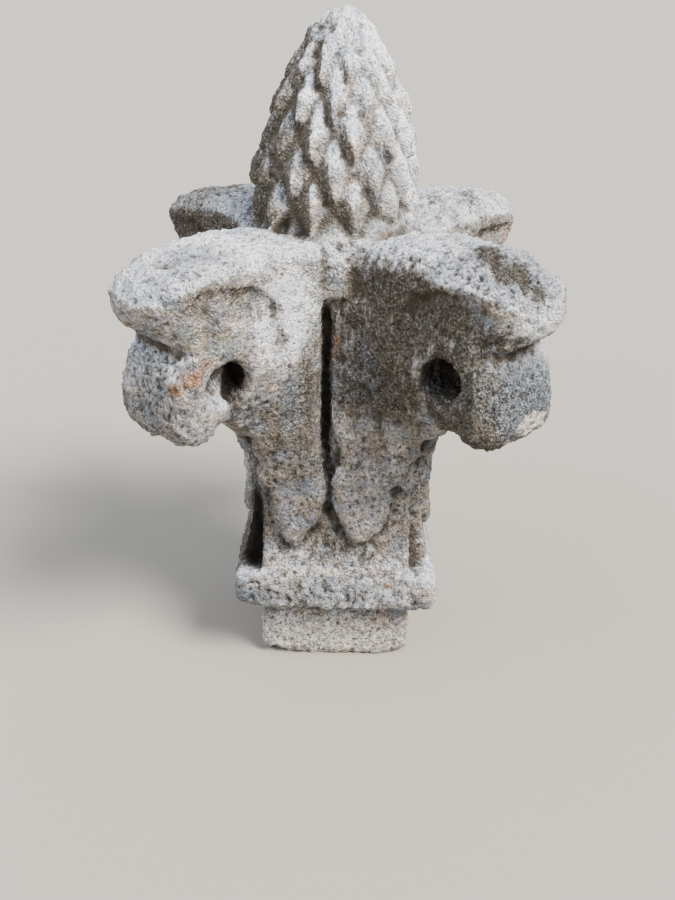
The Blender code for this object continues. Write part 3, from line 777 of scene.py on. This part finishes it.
def store(mesh, name, values):
    """Keep one number per point as an attribute."""
    mesh.attributes.new(name, "FLOAT", "POINT").data.foreach_set("value", values.astype(np.float32))


ROUNDING, WIDER, CALMING = 3, 14, 2
net = neighbours(finial.data)
rounded = softened(read(finial.data), net, ROUNDING)
move_points(finial.data, rounded)
edge = np.einsum("ij,ij->i", rounded - softened(rounded, net, WIDER), read(finial.data, "normal")) / MM
store(finial.data, "edge", softened(edge, net, CALMING))
print("edges stand proud by up to", round(float(edge.max()), 2), "mm")

# %% Rough and calm places
CONE_CALM, CONE_RISES, CONE_REACH = 0.75, (284, 300), 60.0
ROUGH_FADE = (0.5, 1.2)
ROUGH_SPOTS = (
    # centre, reach, how much rougher
    ((95, -98, 290), (45, 50, 16), 1.5), ((-95, -100, 285), (50, 50, 20), 0.35),
    ((0, -66, 62), (90, 16, 18), 0.4), ((105, -108, 215), (40, 30, 30), 0.6),
    ((-105, -112, 215), (45, 38, 34), 0.7), ((0, -60, 125), (70, 30, 50), 0.35),
)
spots = rounded / MM
on_cone = smooth_step(*CONE_RISES, spots[:, 2]) * (np.hypot(*rounded[:, :2].T) < CONE_REACH * MM)
roughness = 1 - CONE_CALM * on_cone
for centre, reach, more in ROUGH_SPOTS:
    roughness += more * nearness(spots, centre, reach, *ROUGH_FADE)
store(finial.data, "roughness_here", roughness)
print("roughness from", roughness.min().round(2), "to", roughness.max().round(2))

# %% [markdown]
# ## Weathering, by Geometry Nodes
# Limestone doesn't wear evenly. Broad hollows, crumbs and pits are layers of noise, each with its
# own real size, pushed along the normals. Edges crumble more than faces, and a crust of lichen
# and lime thickens what faces the sky. The depths, the sizes of the noise and one seed are inputs
# of the tree, so that a stone can be worn more or less, or in another way.

# %% Weathering tree
WEATHER_INPUTS = {
    "Hollow size": 20 * MM, "Hollow depth": 1.7 * MM, "Crumb size": 5.5 * MM, "Crumb depth": 1.4 * MM,
    "Grit size": 3.0 * MM, "Grit depth": 1.2 * MM, "Pit spacing": 9 * MM, "Pit depth": 1.3 * MM,
    "Edge loss": 1.6 * MM, "Crust depth": 1.1 * MM, "Seed": 7.0,
}
SKYWARD, SEED_STEP, NOISE_SPAN = (0.15, 0.7), 3.7, (0.3, 0.7)
tree, asked = start_tree("weathering", WEATHER_INPUTS)
place = add(tree, "GeometryNodeInputPosition")
normal = add(tree, "GeometryNodeInputNormal")
facing = add(tree, "ShaderNodeSeparateXYZ", [normal], out=None).outputs[2]
skyward = add(tree, MAP_RANGE, [facing, *SKYWARD])
rough = add(tree, "GeometryNodeInputNamedAttribute", {"Name": "roughness_here"}, data_type="FLOAT")
edge_value = add(tree, "GeometryNodeInputNamedAttribute", {"Name": "edge"}, data_type="FLOAT")
layers = []
for number, size in enumerate(("Hollow", "Crumb", "Grit")):
    per_metre = add(tree, "DIVIDE", [1.0, asked[size + " size"]])
    seed = add(tree, "ADD", [asked["Seed"], SEED_STEP * number])
    noise = add(tree, "ShaderNodeTexNoise", {
        "Vector": place, "W": seed, "Scale": per_metre, "Detail": 2.0, "Roughness": 0.6},
        noise_dimensions="4D")
    centred = add(tree, MAP_RANGE, [noise, *NOISE_SPAN, -0.5, 0.5], clamp=False)
    deep = add(tree, "MULTIPLY", [centred, asked[size + " depth"]])
    layers.append(add(tree, "MULTIPLY", [deep, rough]))
print("weathering tree: noise layers")

# %% Weathering tree: pits, edges and crust
PIT_WALL, EDGE_FROM = (0.38, 0.12), 0.25
PATCH_SIZE, PATCH_SEED, PATCH_EDGE = 11 * MM, 21.0, (0.38, 0.62)
CRUST_SIZE, CRUST_SEED, CRUST_EDGE, CRUST_RISE = 8 * MM, 5.0, (0.42, 0.6), (-0.4, 0.7)
per_metre = add(tree, "DIVIDE", [1.0, asked["Pit spacing"]])
cells = add(tree, "ShaderNodeTexVoronoi", {"Vector": place, "W": asked["Seed"], "Scale": per_metre},
            voronoi_dimensions="4D")
pit = add(tree, MAP_RANGE, [cells, *PIT_WALL])
pit_loss = add(tree, "MULTIPLY", [pit, asked["Pit depth"]])
exposed = add(tree, "SUBTRACT", [edge_value, EDGE_FROM], use_clamp=True)
patchy = add(tree, "ShaderNodeTexNoise", {
    "Vector": place, "W": PATCH_SEED, "Scale": 1 / PATCH_SIZE, "Detail": 2.0}, noise_dimensions="4D")
patchy = add(tree, MAP_RANGE, [patchy, *PATCH_EDGE])
edge_loss = add(tree, "MULTIPLY", [exposed, patchy])
edge_loss = add(tree, "MULTIPLY", [edge_loss, asked["Edge loss"]])
crust = add(tree, "ShaderNodeTexNoise", {
    "Vector": place, "W": CRUST_SEED, "Scale": 1 / CRUST_SIZE, "Detail": 3.0, "Roughness": 0.65},
    noise_dimensions="4D")
crust = add(tree, MAP_RANGE, [crust, *CRUST_EDGE, *CRUST_RISE])
crust = add(tree, "MULTIPLY", [crust, skyward])
growth = add(tree, "MULTIPLY", [crust, asked["Crust depth"]])
total = growth
for layer in layers:
    total = add(tree, "ADD", [total, layer])
for loss in (pit_loss, edge_loss):
    total = add(tree, "SUBTRACT", [total, loss])
push = add(tree, "ShaderNodeVectorMath", {0: normal, "Scale": total}, operation="SCALE")
worn = add(tree, "GeometryNodeSetPosition", {"Geometry": asked["Geometry"], "Offset": push})
end_tree(tree, worn)

# %% Weather the stone and thin the mesh
MOST_TRIANGLES = 196_000
NEAR_FLOOR, FACING_DOWN = 1.2 * MM, -0.6
nodes_on(finial, tree, WEATHER_INPUTS)
plain(finial)
thin = finial.modifiers.new("thin", "DECIMATE")
thin.ratio = min(MOST_TRIANGLES / (2 * len(finial.data.polygons)), 1.0)
plain(finial)
spots = np.clip(read(finial.data), CAD_LOW, CAD_HIGH)
standing = (spots[:, 2] < NEAR_FLOOR) & (read(finial.data, "normal")[:, 2] < FACING_DOWN)
spots[standing, 2] = 0.0
move_points(finial.data, spots)
finial.data.polygons.foreach_set("use_smooth", np.ones(len(finial.data.polygons), bool))
print("finished stone:", sum(len(f.vertices) - 2 for f in finial.data.polygons), "triangles")

# %% [markdown]
# ## Where the stains and the painted shade are
# The colours of old stone follow its story: pale crust where the sky reaches, dark algae where
# water lingers, blue-grey and ochre lichens in patches, and clean stone where it broke or stood
# in its socket. Shade is painted in as well: nearly black in the eyes, rebates and grooves, dark
# on facets that look away from the light and on the shaded side of the front right leaf, and
# pale lime partly lightens sides that the light falls on. Each mark has a place, a reach in
# millimetres and a strength. They are kept as attributes on the points, so that they stay with
# the stone, and the material breaks up their borders with fine noise. Where a mark keeps to one
# side of a leaf, it has an outline on the leaf's side view instead. The shaft stays free of crust
# because it is sheltered by the leaves.

# %% Places of the stains and the painted shade
def on_leaf(azimuth, s, p, z):
    """Point on a leaf: distance out, distance from its middle plane, and height."""
    turn = math.radians(azimuth)
    return (s * math.cos(turn) - p * math.sin(turn), s * math.sin(turn) + p * math.cos(turn), z)


PATCHES_OF_STAIN_AND_SHADE = {  # centre, reach and most of every patch
    # The algae patches in the two front eyes, low on the left of the shaft, down the left of the cone and
    # under the back left tongue are painted shade; the rest are algae.
    "algae": (
        (on_leaf(315, 110, -16, 226), (15, 15, 16), 1.6), (on_leaf(225, 103, 16, 234), (9, 9, 9), 1.0),
        (on_leaf(225, 90, 31, 262), (16, 16, 8), 0.45),
        ((0, -56, 95), (60, 16, 14), 0.45), ((0, -66, 60), (74, 8, 14), 0.5),
        ((-64, -22, 78), (14, 36, 24), 1.3), ((-28, -62, 200), (30, 14, 74), 0.5),
        ((-85, 80, 292), (52, 50, 30), 0.55), ((85, 58, 298), (10, 30, 12), 0.5),
        ((62, 44, 300), (8, 22, 12), 0.5),
        ((-12, -14, 405), (13, 16, 13), 0.5), ((-16, -22, 386), (8, 10, 12), 0.6),
        ((-46, -12, 334), (26, 30, 40), 0.6), ((-40, 10, 300), (25, 40, 26), 0.7),
        ((-95, 40, 278), (40, 30, 16), 0.9),
        ((80, -84, 293), (10, 17, 12), 1.3), ((85, -100, 290), (8, 14, 12), 1.2),
        ((95, -99, 289), (7, 19, 14), 1.3), ((102, -112, 284), (6, 14, 12), 1.0),
        ((74, -90, 294), (4, 5, 8), 0.7), ((0, 0, 120), (80, 80, 60), 0.25),
    ),
    "blue": (
        ((-28.8, -66.6, 201), (11, 11, 34), 0.7), ((18.5, -65, 217), (10, 10, 36), 0.5),
        ((105, -104, 222), (38, 38, 32), 1.05), ((-56, -66, 57), (24, 8, 12), 0.8),
        (on_leaf(225, 148, 10, 215), (26, 26, 36), 0.35), ((-5, -40, 392), (14, 14, 16), 0.6),
        (on_leaf(225, 118, 6, 292), (30, 22, 10), 0.6), ((0, -66, 62), (66, 8, 14), 0.45),
        ((30, -30, 330), (14, 20, 40), 0.4),
    ),
    "ochre": (
        ((-78, -119.5, 234), (12, 12, 7), 0.75), ((-87, -120, 228), (9, 9, 6), 0.75),
        ((-70, -114, 240), (9, 9, 6), 0.6), ((-1.3, -55, 233), (5, 6, 6), 0.62),
        ((-3, -54, 224), (5, 6, 6), 0.55), ((34, -66, 68.5), (2.5, 2.5, 2.5), 0.8),
        ((24, -42, 292), (12, 10, 10), 0.5),
    ),
    "clean": (
        ((0, 0, 14), (95, 95, 34), 0.75), ((108, -104, 205), (13, 13, 8), 2.0),
        ((13, -59, 118), (6, 5, 9), 0.6), ((-4, -62, 77), (14, 6, 4), 1.1),
        ((-70, -52, 58), (8, 14, 14), 0.5), ((66, -62, 56), (6, 8, 14), 0.5),
    ),
    "damp": (
        ((-24, -62, 212), (18, 16, 52), 1.1), ((-34, -60, 160), (40, 26, 60), 0.6),
        ((-95, 75, 290), (50, 50, 34), 1.0), (on_leaf(315, 60, -32, 205), (44, 16, 32), 0.9),
        (on_leaf(315, 120, -20, 210), (34, 24, 34), 0.7), ((0, 20, 400), (30, 40, 20), 0.4),
        (on_leaf(225, 128, 10, 292), (22, 14, 8), 0.7), (on_leaf(225, 100, 4, 297), (20, 10, 6), 0.5),
    ),
    # Lime is real crust, and partly painted light: it lightens the lit flank and lobe of the front left
    # leaf, the right of the cone and the outer end of the front right leaf.
    "lime": (
        (on_leaf(225, 74, 34, 256), (52, 20, 36), 1.5), ((40, -20, 345), (26, 40, 62), 0.8),
        ((0, -66, 60), (70, 10, 16), 0.9), ((22, -62, 125), (20, 10, 34), 0.45),
        ((0, 0, 14), (95, 95, 34), 0.3), (on_leaf(225, 60, 34, 220), (22, 12, 26), 0.6),
        (on_leaf(225, 112, 0, 294), (64, 44, 14), 1.0), (on_leaf(225, 135, 20, 215), (26, 20, 30), 0.5),
        ((20, 0, 395), (26, 40, 30), 0.9), (on_leaf(315, 150, -6, 268), (20, 24, 14), 1.1),
    ),
    # Painted shade: near black in the eyes, in the rebates down the corners and in the grooves, where
    # light hardly reaches.
    "soot": (
        (on_leaf(315, 110, -12, 226), (12, 12, 12), 1.6), (on_leaf(225, 99, 15, 225), (8, 9, 14), 1.5),
        (on_leaf(315, 101, -22, 226), (9, 9, 12), 1.2),
        (on_leaf(45, 108, 12, 226), (12, 14, 11), 1.5), (on_leaf(135, 102, 12, 222), (12, 12, 12), 1.6),
        ((-56, -50, 104), (14, 11, 42), 1.4), ((52, -50, 100), (6, 6, 30), 0.4),
        ((-50, 50, 110), (8, 8, 34), 0.8), ((50, 50, 110), (8, 8, 34), 0.8),
        ((-7.5, -46, 205), (6, 9, 62), 0.35), ((-4, -48, 150), (7, 8, 30), 0.5),
        ((0, 44, 200), (6, 10, 62), 1.2), ((44, 0, 200), (10, 6, 62), 1.2),
        ((-44, 0, 200), (10, 6, 62), 1.2),
    ),
}
# Painted shade: facets that look away from the light are darkened with the algae colour.
SHADED_FACETS = (
    # stain, centre, reach, the way that the facets look, from, to, most
    ("algae", (-4, 0, 335), (64, 64, 72), (-0.86, -0.1, -0.5), -0.1, 0.5, 1.0),
    ("algae", (-98, 30, 275), (56, 60, 30), (0.0, -0.7, -0.7), -0.1, 0.6, 1.0),
)
SHELTER, SHELTER_FOOT, SHELTER_TOP, SHELTER_OUT = 0.85, (80, 95), (245, 215), (88, 72)
# The shaded side of the front right leaf is dark partly with algae and partly with painted shade: its
# flank, its lobe and the rim under the overhanging tongue. The blue at its foot is lichen.
SHADED_FLANK = ((34, 230), (34, 276), (50, 286), (63, 289), (89, 290), (108, 283), (120, 276), (139, 267),
                (149, 257), (141, 250), (129, 250), (109, 249), (100, 244), (95, 228), (92, 200),
                (84, 182), (66, 172), (50, 176), (40, 182), (35, 200))
SHADED_LOBE = ((104, 251), (127, 251), (146, 246), (152, 228), (151, 207), (143, 186), (112, 190),
               (96, 188), (92, 205), (96, 228))
DARK_RIM = ((34, 262), (50, 278), (63, 284), (89, 286), (108, 280), (122, 272), (139, 262), (146, 252),
            (128, 254), (106, 260), (92, 268), (70, 272), (52, 262), (44, 240), (34, 236))
DAMP_FOOT = ((36, 240), (58, 244), (62, 222), (56, 200), (44, 192), (34, 200))
SIDE_STAIN_AND_SHADE = (
    # stain, outline on the shaded side of the front right leaf, softness, fade at the foot, most
    ("algae", SHADED_FLANK, 9.0, (155, 225), 0.88), ("algae", DARK_RIM, 6.0, (0, 1), 0.95),
    ("algae", SHADED_LOBE, 6.0, (0, 1), 0.82), ("blue", DAMP_FOOT, 7.0, (180, 205), 0.4),
)
print("stains:", {mark: len(patches) for mark, patches in PATCHES_OF_STAIN_AND_SHADE.items()})

# %% Put the stains and the painted shade on the points
PATCH_FADE, FACET_FADE = (0.2, 1.3), (0.8, 1.2)
SHADED_LEAF, SIDE_FROM, SIDE_END = 315, (2, 10), (LEAF_HALF + 8, LEAF_HALF + 2)
FACET_ROUNDS, SKY_ROUNDS = 3, 6
HOLLOWS = (("fine_hollow", 2, 0), ("wide_hollow", 30, 3))  # rounds that find them, and that calm them
mesh = finial.data
spots, normals, net = read(mesh), read(mesh, "normal"), neighbours(mesh)
places, heights = spots / MM, spots[:, 2] / MM
strength = {mark: np.zeros(len(spots)) for mark in PATCHES_OF_STAIN_AND_SHADE}


def mark_more(mark, values):
    """Let the stronger one of two marks, stain or painted shade, win at every point."""
    strength[mark] = np.maximum(strength[mark], values)


for mark, patches in PATCHES_OF_STAIN_AND_SHADE.items():
    for centre, reach, most in patches:
        mark_more(mark, most * nearness(places, centre, reach, *PATCH_FADE))
turn = math.radians(SHADED_LEAF)
along = (spots[:, 0] * math.cos(turn) + spots[:, 1] * math.sin(turn)) / MM
off_side = (spots[:, 0] * math.sin(turn) - spots[:, 1] * math.cos(turn)) / MM
flat, on_side = np.column_stack([along, heights]), smooth_step(*SIDE_FROM, off_side)
on_side *= smooth_step(*SIDE_END, off_side)
for mark, outline, softness, foot, most in SIDE_STAIN_AND_SHADE:
    border = np.array(outline, float)
    within = edge_distance(flat, border) * np.where(is_inside(flat, border), 1, -1)
    mask = smooth_step(-softness, softness, within) * smooth_step(*foot, heights)
    mark_more(mark, most * mask * on_side)
facing = softened(normals, net, FACET_ROUNDS)
for mark, centre, reach, way, low, high, most in SHADED_FACETS:
    mask = smooth_step(low, high, facing @ np.array(way))
    mark_more(mark, most * mask * nearness(places, centre, reach, *FACET_FADE))
for mark, values in strength.items():
    store(mesh, mark, values)
print("stained points:", {mark: int((values > 0).sum()) for mark, values in strength.items()})

# %% What faces the sky, and the hollows
sheltered = smooth_step(*SHELTER_FOOT, heights) * smooth_step(*SHELTER_TOP, heights)
sheltered *= smooth_step(*SHELTER_OUT, np.hypot(*spots[:, :2].T) / MM)
store(mesh, "sky", softened(normals[:, 2], net, SKY_ROUNDS) * (1 - SHELTER * sheltered))
for name, rounds, calm in HOLLOWS:
    depth = np.einsum("ij,ij->i", softened(spots, net, rounds) - spots, normals) / MM
    store(mesh, name, softened(depth, net, calm))
print("sheltered points:", int((sheltered > 0).sum()))

# %% [markdown]
# ## The stone
# The material is oolitic limestone, once tooled and now open-grained. That gives the eye a dead
# matt surface, pinkish buff, with dark specks and light grains, and a crust of lime and lichen
# that is nearly white where it faces the sky. The real grains are finer than the picture can
# show, so the finest noise is drawn at a millimetre and a half.
#
# Each stain is a layer, and so is the painted shade in the hollows, eyes and grooves. Its attribute
# says which share of the surface it covers, and ragged noise decides where, so that a stain thins
# out in flecks as a living crust does. The noise alone must not call up a stain where there is
# none, so a layer is held back where its share is near 0.

# %% Noises of the stone, with their real sizes
NOISES = {  # size, detail, roughness, seed, upright scale: below 1 it draws the noise out
    "grain": (1.5 * MM, 2.0, 0.6, 0.0, 1.0), "clump": (4.5 * MM, 4.0, 0.7, 1.0, 1.0),
    "pink_patch": (16 * MM, 5.0, 0.65, 2.0, 1.0), "grey_patch": (13 * MM, 5.0, 0.65, 3.0, 1.0),
    "olive_patch": (15 * MM, 5.0, 0.65, 4.0, 1.0), "pale_patch": (20 * MM, 6.0, 0.7, 5.0, 1.0),
    "streak": (4 * MM, 3.0, 0.6, 6.0, 0.22), "flake": (6 * MM, 5.0, 0.72, 7.0, 1.0),
    "tone": (18 * MM, 5.0, 0.6, 8.0, 1.0), "cool_patch": (12 * MM, 5.0, 0.65, 9.0, 1.0),
}
GRAIN_SHARE = 0.4

limestone.use_nodes = True
tree = limestone.node_tree
shader = tree.nodes["Principled BSDF"]
here = add(tree, "ShaderNodeTexCoord", out="Object")
value = {}
for name, (size, detail, roughness, seed, upright) in NOISES.items():
    stretched = add(tree, "ShaderNodeVectorMath", [here, (1.0, 1.0, upright)], operation="MULTIPLY")
    noise = add(tree, "ShaderNodeTexNoise", {
        "Vector": stretched, "W": seed, "Scale": 1 / size, "Detail": detail, "Roughness": roughness},
        noise_dimensions="4D")
    value[name] = add(tree, MAP_RANGE, [noise, *NOISE_SPAN])
mixed = add(tree, "MULTIPLY", [value["grain"], GRAIN_SHARE])
value["ragged"] = add(tree, "MULTIPLY_ADD", [value["clump"], 1 - GRAIN_SHARE, mixed])
for name in (*PATCHES_OF_STAIN_AND_SHADE, "sky", "fine_hollow", "wide_hollow", "roughness_here"):
    value[name] = add(tree, "ShaderNodeAttribute", out="Fac", attribute_name=name)
print("noises:", list(NOISES))

# %% Layers of the stone
BUFF, PINK, COOL_GREY, OLIVE, PALE = "#a2978a", "#c0afa5", "#8e9294", "#a39b7b", "#dbd6cf"
# The darkest colour is painted shade for the eyes, rebates and grooves.
LIGHT_GRAIN, PORE, RECESS_SHADE = "#efedea", "#494540", "#1c1915"
CRUST, CRUST_LIGHT, CRUST_GAP, CRUST_COOL = "#cdd2d8", "#f9fbff", "#74787d", "#8b96a3"
# Lime is also painted light where it lightens sides that the light falls on.
DAMP_AND_PAINTED_SHADE, LIME_AND_PAINTED_LIGHT = "#6a6156", "#eeeae7"
# The algae colours also paint shade: in the eyes, the hollows and on sides and facets turned from the
# light.
ALGAE_AND_PAINTED_SHADE, ALGAE_DRY = "#332d25", "#7b7365"
BLUE_GREY, BLUE_DARK = "#a0a8b0", "#393f46"
OCHRE, OCHRE_PALE = "#8a5527", "#bb9166"
CLEAN, CLEAN_LIGHT = "#d2c7b8", "#f8f2e8"
LAYERS = (
    # where, from, to, most, colour, then a lighter one, what mixes them, and a ragged border
    ("pink_patch", 0.4, 0.7, 0.9, PINK), ("grey_patch", 0.5, 0.8, 0.85, COOL_GREY),
    ("olive_patch", 0.6, 0.85, 0.7, OLIVE),
    ("pale_patch", 0.35, 1.3, 0.95, PALE, CRUST_LIGHT, "clump", "ragged"),
    ("tone", 0.5, 0.1, 0.55, DAMP_AND_PAINTED_SHADE), ("tone", 0.55, 0.95, 0.6, LIME_AND_PAINTED_LIGHT),
    # The lime layers here and below are real crust and partly painted light on lit sides.
    ("damp", 0.0, 1.0, 0.8, DAMP_AND_PAINTED_SHADE), ("lime", 0.0, 1.0, 0.85, LIME_AND_PAINTED_LIGHT),
    ("clump", 0.45, 0.0, 0.45, PORE),
    ("sky", 0.1, 0.55, 0.9, CRUST, CRUST_LIGHT, "ragged", "ragged"),
    ("cool_patch", 0.45, 0.75, 0.6, CRUST_COOL), ("flake", 0.46, 0.2, 0.6, CRUST_GAP),
    ("lime", 0.3, 1.2, 0.75, CRUST_LIGHT, CRUST_LIGHT, "grain", "ragged"),
    ("damp", 0.3, 1.0, 0.45, DAMP_AND_PAINTED_SHADE, DAMP_AND_PAINTED_SHADE, "grain", "ragged"),
    # Algae, and painted shade where the same attribute was laid on eyes, facets and shaded sides.
    ("algae", 0.0, 1.0, 0.92, ALGAE_AND_PAINTED_SHADE, ALGAE_DRY, "ragged", "streak"),
    ("blue", 0.0, 1.0, 0.85, BLUE_DARK, BLUE_GREY, "ragged", "ragged"),
    ("ochre", 0.0, 1.0, 0.85, OCHRE, OCHRE_PALE, "grain", "ragged"),
    ("clean", 0.0, 1.0, 0.85, CLEAN, CLEAN_LIGHT, "clump", "ragged"),
    ("grain", 0.55, 1.1, 0.28, LIGHT_GRAIN), ("grain", 0.6, 0.0, 0.6, PORE),
    # The hollows are darkened partly as dirt and partly as painted shade, and the eyes, rebates and
    # grooves are painted nearly black as shade.
    ("fine_hollow", 0.06, 0.45, 0.65, ALGAE_AND_PAINTED_SHADE), ("wide_hollow", 0.1, 1.1, 0.6, DAMP_AND_PAINTED_SHADE),
    ("wide_hollow", 0.6, 2.2, 0.7, ALGAE_AND_PAINTED_SHADE), ("soot", 0.1, 0.9, 0.96, RECESS_SHADE),
)
RAGGED_EDGE, NO_STAIN = (0.75, 1.25), 0.2  # a share below NO_STAIN holds the layer back
colour = add(tree, "ShaderNodeRGB")
colour.default_value = linear(BUFF)
for where, low, high, most, dark, *more in LAYERS:
    light, mixer, border = more or (dark, "grain", None)
    own = add(tree, "ShaderNodeMix", {0: value[mixer], 6: linear(dark), 7: linear(light)},
              out=2, data_type="RGBA")
    share = add(tree, MAP_RANGE, [value[where], low, high])
    limit = most
    if border:
        limit = add(tree, MAP_RANGE, [share, 0.0, NO_STAIN, 0.0, most])
        share = add(tree, "ADD", [share, value[border]])
        share = add(tree, MAP_RANGE, [share, *RAGGED_EDGE])
    share = add(tree, "MULTIPLY", [share, limit])
    colour = add(tree, "ShaderNodeMix", {0: share, 6: colour, 7: own}, out=2, data_type="RGBA")
tree.links.new(colour, shader.inputs["Base Color"])
# Dry open stone scatters light all ways and has hardly any shine.
shader.inputs["Roughness"].default_value = 0.93
shader.inputs["Specular IOR Level"].default_value = 0.25
print("layers:", len(LAYERS))

# %% Grain that can be felt
GRAIN_HEIGHT, COARSE_MORE = 1.4 * MM, 1.5
coarse = add(tree, "ADD", [value["clump"], value["flake"]])
coarse = add(tree, "MULTIPLY", [coarse, COARSE_MORE])
height = add(tree, "MULTIPLY_ADD", [coarse, value["roughness_here"], value["grain"]])
bump = add(tree, "ShaderNodeBump", {"Height": height, "Distance": GRAIN_HEIGHT, "Strength": 1.0})
tree.links.new(bump, shader.inputs["Normal"])
finial.data.materials.clear()
finial.data.materials.append(limestone)
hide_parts("finial")
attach(finial, "root")
print("stone:", len(tree.nodes), "nodes")

# %% [markdown]
# ## Studio
# The floor is plain pale paper, whose high roughness leaves no shine. A soft sky lights the stone
# from all round. A wide soft sun from the front right is the daylight of the photograph, and a
# weak one from the left keeps the shaded sides readable.

# %% Floor and light
FLOOR_HALF = 90.0  # metres, so that its edge passes for the horizon
corners = [(x * FLOOR_HALF, y * FLOOR_HALF, 0) for x, y in ((-1, -1), (1, -1), (1, 1), (-1, 1))]
floor = show("floor", corners, [(0, 1, 2, 3)])
paper = bpy.data.materials.new("pale_paper_floor")
paper.use_nodes = True
paper_sockets = paper.node_tree.nodes["Principled BSDF"].inputs
paper_sockets["Base Color"].default_value = linear("#98938b")
paper_sockets["Roughness"].default_value = 0.9
floor.data.materials.append(paper)
floor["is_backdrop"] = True

world = bpy.data.worlds.new("studio")
bpy.context.scene.world = world
world.use_nodes = True
sky_sockets = world.node_tree.nodes["Background"].inputs
sky_sockets["Color"].default_value = linear("#dbe2ec")
sky_sockets["Strength"].default_value = 1.15
bpy.context.scene.view_settings.look = "AgX - Medium High Contrast"


def soft_sun(name, towards, strength, spread, colour):
    """Even light from one side, in W/m2, softened by the width of its disc in degrees."""
    data = bpy.data.lights.new(name, "SUN")
    data.energy = strength
    data.angle = math.radians(spread)
    data.color = linear(colour)[:3]
    lamp = bpy.data.objects.new(name, data)
    lamp.rotation_euler = Vector(towards).to_track_quat("Z", "Y").to_euler()
    bpy.context.scene.collection.objects.link(lamp)


soft_sun("window", (0.5, -0.36, 0.65), 7.3, 25, "#fffaf4")
soft_sun("fill", (-0.8, -0.3, 0.5), 1.5, 70, "#f2f5ff")
print("lights:", [lamp.name for lamp in bpy.data.lights])

# %% Sizes of the two models
low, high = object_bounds()
print("visual model:", [round(v, 4) for v in (high - low)], "m")
